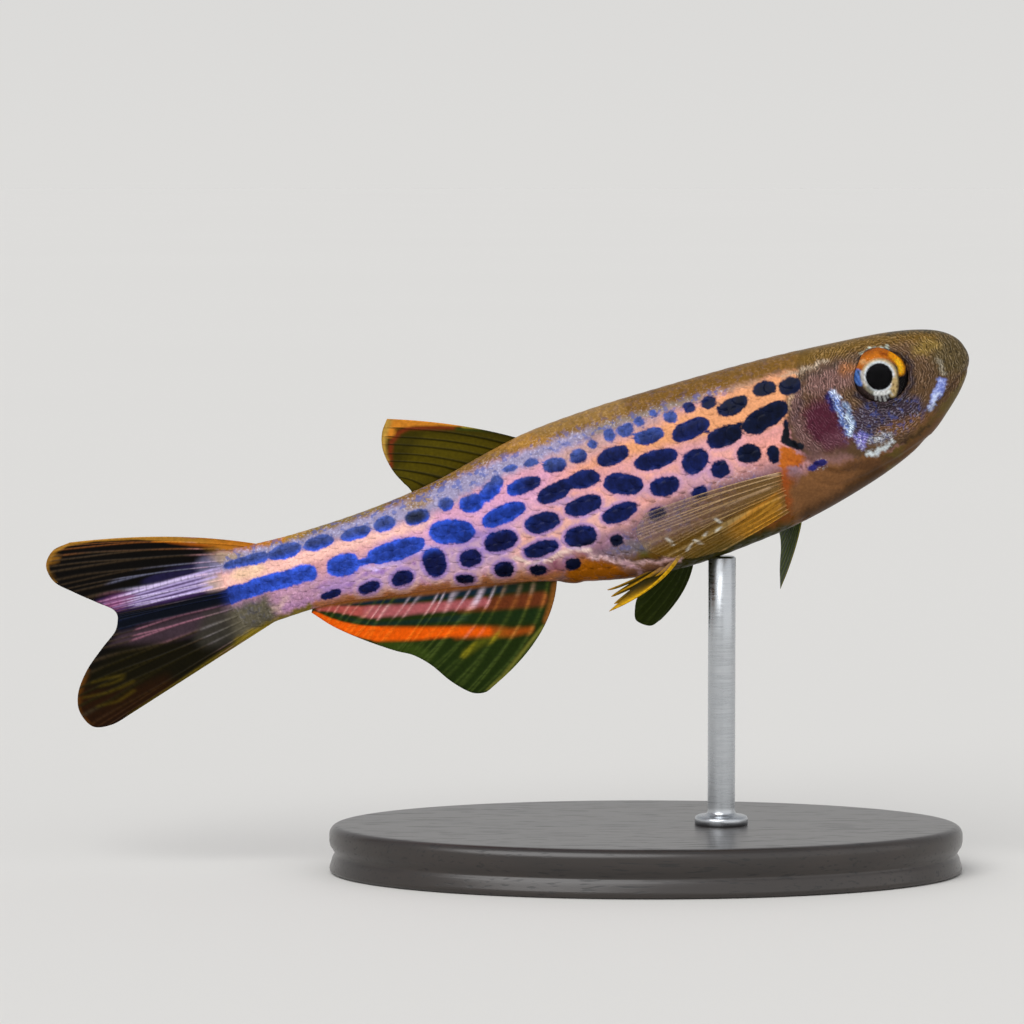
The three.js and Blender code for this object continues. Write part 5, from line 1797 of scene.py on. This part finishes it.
CAUDAL_FIN = Fin(
    name="caudal_fin_rayed", nodes=("caudal_fin_upper", "caudal_fin_lower"), slot="tail_fin",
    root=(
        (42.4, 0.6), (43.4, 0.35), (44.1, -0.3), (44.1, -1.3), (44.1, -1.5), (44.1, -1.72), (44.1, -2.6),
        (43.4, -3.45), (42.4, -3.65),
    ),
    margin=(
        (53.35, 3.93), (54.46, 3.73), (55.1, 3), (54.95, 2), (54.05, 1.1), (52.84, 0.1), (52, -0.6),
        (51.88, -0.95), (51.95, -1.25), (52.24, -1.77), (53.3, -2.55), (54.61, -3.61), (55.5, -4.8),
        (55.7, -5.8), (55.2, -6.85), (54.1, -7.05), (52.8, -6.73),
    ),
    stops=((0, 0.47, 0.53, 1), (0, 3, 5, 8), (0, 6.6, 7.4, 16)),
    rays=19, bow=(-0.85, -0.05, 0), film="#080605", rib="#3a2e20", per_ray=14, fork_at=0.5, fork=0.22,
    uneven=0.35,
    takes_skin=True, ripple=0.1, waves=1.6,
    film_washes=(
        Wash("#1c1838", Blob(47.8, 0.55, 2, 0.3), 0.35, 0.9),
        Wash("#5c5a74", Blob(45.6, 0.45, 0.9, 0.55), 0.3),
        Wash("#3c2654", Area((
            (44.5, 0), (47, 0.15), (50.5, 0.3), (52.6, 0.3), (51.7, -0.65), (48, -1), (44.5, -1.15),
        )), 0.18),
        Wash("#b09a94", Blob(45.4, -0.6, 1, 0.5), 0.4),
        *VIOLET_STREAKS,
        Wash("#70385c", Blob(51.4, -0.1, 1, 0.36), 0.3, 0.8),
        Wash("#060a14", NAVY_BAND, 0.14),
        Wash("#3a2c34", Area(((44.5, -2.1), (51.9, -1.9), (52.6, -2.4), (50, -3.2), (45, -3.2))), 0.3),
        Wash("#34312a", Area(((44, -2.2), (46.8, -2.2), (47.8, -3.4), (47.6, -4.4), (44, -4))), 0.4, 0.85),
        Wash("#0f0c02", Area((
            (49, -3.2), (52, -2.6), (55, -3.7), (55.9, -5.4), (52, -6.6), (46.5, -4.5),
        )), 0.45),
        Wash("#220f02", Area((
            (50, -5), (53, -5), (55.2, -4.2), (56, -6), (55.5, -7.2), (49, -6.2),
        )), 0.5, 0.85),
        Wash("#5e5010", Stroke(LOWER_LOBE, 0.3, 0.1), 0.16),
        Wash("#5a3408", Stroke(((54.4, -3.5), (55.2, -4.5), (55.6, -5.6), (55.2, -6.6)), 0.16), 0.16),
        *GOLD_STREAKS,
        Wash("#a2520c", Stroke(((42.2, 0.8), (44.2, 1.25), (46.4, 2), (47.6, 2.45)), 0.3, 0.1), 0.14),
        Wash("#8a5c1c", Blob(54.5, 3.35, 0.5, 0.26), 0.18, 0.8),
        Wash("#9c6c24", GOLD_EDGE, 0.06),
    ),
    rib_washes=(
        Wash("#8c4f1c", Stroke(((46, 1.6), (49, 2.7), (52, 3.5), (53.6, 3.6)), 0.25), 0.25, 0.7),
        Wash("#6a6c84", Blob(48.6, 0.75, 3.2, 0.5, -3), 0.35, 0.8),
        Wash("#8d88ae", Blob(45.6, 0.45, 1.1, 0.6), 0.3),
        Wash("#d2c2ea", Area((
            (44.5, 0.1), (47, 0.28), (50.5, 0.36), (52.4, 0.1), (50.8, -0.6), (48, -1), (44.5, -1.15),
        )), 0.2),
        Wash("#e6cdb8", Blob(45.2, -0.7, 1, 0.5), 0.4),
        Wash("#b46a98", Blob(51.9, -0.1, 0.9, 0.4), 0.5, 0.8),
        Wash("#10162a", NAVY_BAND, 0.14),
        Wash("#a06a7c", Area(((45, -2), (50.8, -1.85), (51.4, -2.6), (49.4, -3.1), (45, -2.5))), 0.2),
        Wash("#6a6668", Area(((44, -2.2), (46.8, -2.3), (47.4, -3.2), (47, -4.2), (44, -4))), 0.3, 0.8),
        Wash("#1e1904", Area((
            (49, -3.3), (52, -2.8), (55, -3.9), (55.7, -5.4), (52, -6.6), (46.5, -4.5),
        )), 0.45),
        *GOLD_STREAKS,
        Wash("#38200a", Area((
            (50, -5.3), (53, -5.9), (55.2, -6.2), (56, -6), (55.5, -7.2), (49, -6.2),
        )), 0.4, 0.85),
        Wash("#6a5a12", Stroke(LOWER_LOBE, 0.32, 0.12), 0.16),
        Wash("#e0821a", Stroke(((42.2, 0.8), (44.2, 1.25), (46.4, 2), (48.4, 2.7)), 0.4, 0.12), 0.16),
        Wash("#b08034", GOLD_EDGE, 0.08),
    ),
)
# pale strokes on the right pectoral fin: painted highlights, glints off the wet film
PAINTED_FIN_GLINTS = tuple(
    Wash("#eeece0", Stroke(path, 0.07, 0.03), 0.06, 0.85)
    for path in (
        ((18.83, -6.58), (18.47, -6.28)), ((18.28, -6.14), (17.91, -6.5)), ((19.77, -5.58), (19.52, -6.1)),
        ((16.9, -5.98), (16.6, -5.84)), ((17.65, -6.05), (17.5, -5.92)),
        ((16.72, -5.3), (16.54, -5.6)),
    )
)
FLAMES = tuple(
    Wash(colour, Stroke(path, width, 0.03), 0.07, 0.85)
    for colour, width, path in (
        ("#c8a888", 0.1, ((12.6, -3.8), (14.4, -3.52), (16.7, -3.3))),
        ("#bc9c78", 0.07, ((13.2, -4.45), (15, -4.62), (15.9, -4.78))),
        ("#c48c34", 0.07, ((12.9, -5.55), (13.5, -5.8), (14.3, -6.15), (15, -6.35))),
        ("#cc9438", 0.06, ((12.9, -5.2), (13.7, -5.55), (14.5, -5.9), (15.5, -6.2))),
        ("#b87c2c", 0.07, ((13, -4.9), (14, -5.25), (15, -5.6), (16.2, -5.95))),
    )
)
GOLDEN_PART = ((13, -4.9), (17, -5.4), (21, -6), (20, -7.5), (13, -7.5))
PECTORAL_RIGHT = Fin(
    name="pectoral_fin_right_rayed", nodes=("pectoral_fin_right",), slot="gold_fin",
    root=tuple(on_flank(Side.RIGHT, s, h, 0.08) for s, h in ((11.75, -3.6), (11.95, -4.6), (12.3, -5.9))),
    margin=(
        beside(20.6, -3.55, 0.9), beside(21.4, -4.4, 1.1), beside(21.2, -5.5, 1.2), beside(20.1, -6.35, 1.2),
        beside(18.7, -6.85, 1), beside(16.9, -6.95, 0.8),
    ),
    rays=11, bow=(-0.35, 0.1), film="#7a5c34", rib="#bc9e78", clear_root=0.75, clear_margin=0.26,
    per_ray=16, ray_width=0.13, fork_at=0.35, fork=0.24, film_half=0.04, ray_half=0.05, uneven=0.6,
    ray_fade=0.7,
    film_washes=(
        Wash("#78665c", Area(((17.5, -3), (22, -3), (22, -5.2), (18.5, -5))), 0.8),
        Wash("#624810", Area(GOLDEN_PART), 0.5),
        Wash("#a4701e", Area((
            (12.8, -4.9), (14.5, -5.2), (16.4, -6), (16, -7), (12.8, -6.8),
        )), 0.5, 0.85),
        Wash("#a04a14", Stroke(((12.15, -4.1), (12.4, -4.8), (12.3, -5.5)), 0.2, 0.12), 0.2, 0.85),
        Wash("#1c2028", Blob(17.1, -3.65, 0.36, 0.24), 0.12, 0.8),
        Wash("#222834", Blob(19.9, -4.02, 0.42, 0.3), 0.14, 0.8),
        *FLAMES,
        *PAINTED_FIN_GLINTS,
    ),
    rib_washes=(
        Wash("#a08452", Area(GOLDEN_PART), 0.5),
        Wash("#d69a34", Area((
            (13.2, -5), (14.5, -5.2), (15.8, -6), (15.4, -7), (13.2, -6.6),
        )), 0.4, 0.9),
        Wash("#b87a3c", Stroke(((12.3, -3.7), (12.6, -4.8), (12.6, -5.8)), 0.3), 0.35, 0.8),
        *FLAMES,
        *PAINTED_FIN_GLINTS,
    ),
)
PECTORAL_LEFT = Fin(
    name="pectoral_fin_left_rayed", nodes=("pectoral_fin_left",), slot="gold_fin",
    root=tuple(on_flank(Side.LEFT, s, h, 0.5) for s, h in ((10.9, -3.9), (11.5, -4.9), (12.1, -5.9))),
    margin=(
        (14.1, -11, 7.6), (13.75, -10.1, 8.3), (13.4, -9, 8.3), (13.25, -8.1, 7.7), (13.2, -7.35, 6.4),
    ),
    rays=10, bow=(1, 0.15), lean=0.38, film="#2c3c10", rib="#66742c", chart=Chart.OWN,
    clear_margin=0.9, ray_width=0.12, film_half=0.04, waves=1.2,
    film_washes=(Wash("#5a3c12", Area(((-1, -1), (1.2, -1), (1.2, 11), (-1, 11))), 1),),
    rib_washes=(
        Wash("#7c7a28", Area(((-1, -1), (11, -1), (11, 0.6), (-1, 0.6))), 0.5),
        Wash("#8a5a24", Area(((-1, -1), (1.4, -1), (1.4, 11), (-1, 11))), 1),
    ),
)
PELVIC_RIGHT = Fin(
    name="pelvic_fin_right_rayed", nodes=("pelvic_fin_right",), slot="olive_fin",
    root=tuple(on_belly(s, y, 0.5) for s, y in ((19, -1.5), (19.6, -1), (20.3, -0.55))),
    margin=((24.2, -8.46, -3), (23.8, -8.15, -2.6), (23.85, -7.8, -2.1), (23.95, -7.38, -1.5)),
    rays=4, bow=(1, 0.6, 0.3, 0.1), film="#2a2408", rib="#a87c10", chart=Chart.OWN, notch=0.5, uneven=0,
    per_ray=26, ray_width=0.3, fork_at=1.4, film_half=0.045, ray_half=0.09,
    film_washes=(
        Wash("#8a6a5a", Area(((-1, -1), (3.4, -1), (4.2, 11), (-1, 11))), 0.9),
        Wash("#8a6410", Area(((-1, -1), (11, -1), (11, 0.9), (-1, 0.9))), 0.7),
    ),
    rib_washes=(
        Wash("#b08a60", Area(((-1, -1), (2.4, -1), (3.4, 11), (-1, 11))), 0.9),
        Wash("#dca812", Area(((1.5, -1), (9.5, -1), (9.5, 1.3), (1.5, 1.3))), 1),
        Wash("#3a340c", Stroke(((-1, -0.3), (11, -0.3)), 0.25), 0.3, 0.8),
    ),
)
PELVIC_LEFT = Fin(
    name="pelvic_fin_left_rayed", nodes=("pelvic_fin_left",), slot="olive_fin",
    root=tuple(on_belly(s, y, 0.5) for s, y in ((18.25, 1.5), (19.05, 1), (20, 0.55))),
    margin=(
        (21.45, -10.3, 2.3), (22.2, -10.42, 2.3), (22.85, -9.9, 2.1), (22.7, -9.1, 1.8), (22.2, -8.3, 1.3),
    ),
    rays=7, bow=(1.15, 0.1), film="#252e0c", rib="#333d14", chart=Chart.OWN, film_half=0.05, ray_half=0.05,
    ray_width=0.14,
    rib_washes=(Wash("#4a4a1c", Area(((-1, -1), (11, -1), (11, 0.5), (-1, 0.5))), 0.5),),
)
FINS = (DORSAL_FIN, ANAL_FIN, CAUDAL_FIN, PECTORAL_RIGHT, PECTORAL_LEFT, PELVIC_RIGHT, PELVIC_LEFT)


@dataclass
class Stand:
    """An oval turned base with a steel rod up into the belly."""

    length: float = 37.0
    width: float = 23.0
    height: float = 2.8
    bead: float = 0.55
    rod: float = 1.6
    collar: float = 0.75
    rod_s: float = 17.0
    rod_top: float = 18.5
    around: int = 240
    hollow_steps: int = 6
    bead_steps: int = 9

    def turned(self, name: str, profile: Line, long: float, wide: float, x: float) -> Object:
        """A closed oval form from a profile of insets and heights.

        Args:
            name: The piece's name.
            profile: Pairs of inset from the outer edge and height.
            long: Half the length.
            wide: Half the width.
            x: Where its axis stands.

        Returns:
            The piece.
        """
        turn = np.arange(self.around) / self.around * TURN
        rings = [
            np.column_stack([x + (long - inset) * np.cos(turn), (wide - inset) * np.sin(turn), 0 * turn + z])
            for inset, z in profile
        ]
        points = np.vstack([*rings, [[x, 0.0, profile[0][1]], [x, 0.0, profile[-1][1]]]]) * MM
        return make_piece(name, points, tube_faces(len(profile), self.around))

    def build(self) -> None:
        """Makes the base, and the rod with its collar."""
        top, bead, collar = self.height, self.bead, self.collar
        hollow = np.linspace(0, TURN / 4, self.hollow_steps)[1:-1]
        round_over = np.linspace(TURN / 4, 0, self.bead_steps)
        profile = (
            (0.5, 0.0), (0.22, 0.02), (0.05, 0.12), (0.0, 0.28), (0.03, 0.42),
            *((0.1125 + 0.3 * (1 - math.cos(turn)), 0.5 + 0.63 * math.sin(turn)) for turn in hollow),
            (0.3, 1.2), (0.18, 1.42), (0.06, 1.6), (0.0, 1.85),
            *((bead * (1 - math.sin(turn)), top - bead * (1 - math.cos(turn))) for turn in round_over),
            (0.9, top), (3.0, top), (9.0, top),
        )
        base = self.turned("stand_base_turned", profile, self.length / 2, self.width / 2, 0.0)
        settle(base, ("stand_base",), EbonisedBeech().material())
        belly = float(FORM.section(self.rod_s)[3])
        x = FISH.snout_x - self.rod_s * math.cos(FISH.pitch) - belly * math.sin(FISH.pitch)
        profile = (
            (0.0, top - 0.02), (0.0, top + 0.34), (0.05, top + 0.46), (0.16, top + 0.52), (0.55, top + 0.56),
            (0.68, top + 0.62), (0.745, top + 0.78), (collar, top + 1.0), (collar, 8.0), (collar, 13.0),
            (collar, self.rod_top - 0.1), (0.85, self.rod_top),
        )
        reach = self.rod / 2 + collar
        rod = self.turned("stand_rod_collared", profile, reach, reach, x)
        settle(rod, ("stand_rod",), BrushedSteel().material())


@dataclass(frozen=True)
class Studio:
    """A plain pale floor under soft light, seen through a long lens from the fish's right side."""

    lens: float = 180.0
    sensor: float = 36.0
    clip: tuple[float, float] = (0.01, 50.0)
    floor: float = 12.0
    zenith: str = "#b4b6ba"
    horizon: str = "#dddcda"

    def camera(self) -> None:
        """Sets the camera so that the fish fills the frame as in the photograph."""
        data = bpy.data.cameras.new("camera")
        data.lens, data.sensor_width = self.lens, self.sensor
        data.clip_start, data.clip_end = self.clip
        camera = add_object("camera", data)
        back = Vector((0.0, -math.cos(VIEW.elevation), math.sin(VIEW.elevation)))
        camera.location = (Vector(VIEW.target) + back * VIEW.distance) * MM
        camera.rotation_euler = (-back).to_track_quat("-Z", "Y").to_euler()
        bpy.context.scene.camera = camera

    def light(self, name: str, energy: float, spread: float, towards: Triple) -> None:
        """Adds a large soft light, far off.

        Args:
            name: Its name.
            energy: Its strength.
            spread: How wide it looks, in degrees.
            towards: Where it stands, as a direction from the fish.
        """
        data = bpy.data.lights.new(name, "SUN")
        data.energy, data.angle = energy, math.radians(spread)
        add_object(name, data).rotation_euler = Vector(towards).to_track_quat("Z", "Y").to_euler()

    def world(self) -> None:
        """A pale room, as bright as the floor at eye level and a little darker overhead."""
        world = bpy.data.worlds.new("studio")
        world.use_nodes = True
        bpy.context.scene.world = world
        add = partial(add_node, world.node_tree)
        up = add("SeparateXYZ", add("TexCoord").outputs["Generated"]).outputs["Z"]
        share = add("MapRange", up, 0.0, 0.7)
        sky = add("Mix", share, opaque(self.horizon), opaque(self.zenith), data_type="RGBA")
        feed(world.node_tree.nodes["Background"], {"Color": sky, "Strength": 1.0})

    def build(self) -> None:
        """Makes the camera, the lights, the room and the floor."""
        self.camera()
        self.light("key", 1.9, 50.0, (-0.5, -1.0, 1.1))
        self.light("fill", 0.6, 80.0, (0.9, -0.8, 0.35))
        self.world()
        bpy.context.scene.view_settings.view_transform = "Standard"
        half = self.floor / 2
        corners = [(-half, -half, 0), (half, -half, 0), (half, half, 0), (-half, half, 0)]
        mesh = bpy.data.meshes.new("studio_floor")
        mesh.from_pydata(corners, [], [[0, 1, 2, 3]])
        mesh.materials.append(PaleBoard().material())
        add_object("studio_floor", mesh)


def main() -> None:
    """Builds the studio and the fish on its stand."""
    logging.basicConfig(level=logging.INFO, format="%(message)s")
    Studio().build()
    finish = WetFishSkin().material()
    form = Skin()
    skin = form.build()
    coat = ScaleCoat(form).build(skin, finish)
    covered = ("head", "lower_jaw", "gill_cover_right", "gill_cover_left", "trunk", "tail_stem")
    settle(skin, covered, finish)
    settle(coat, ("trunk", "tail_stem"), finish)
    iris, clear = PaintedEye().material(), ClearCornea().material()
    for side in Side:
        Eye(side).build(iris, clear)
    for fin in FINS:
        fin.build()
    Stand().build()


if __name__ == "__main__":
    main()
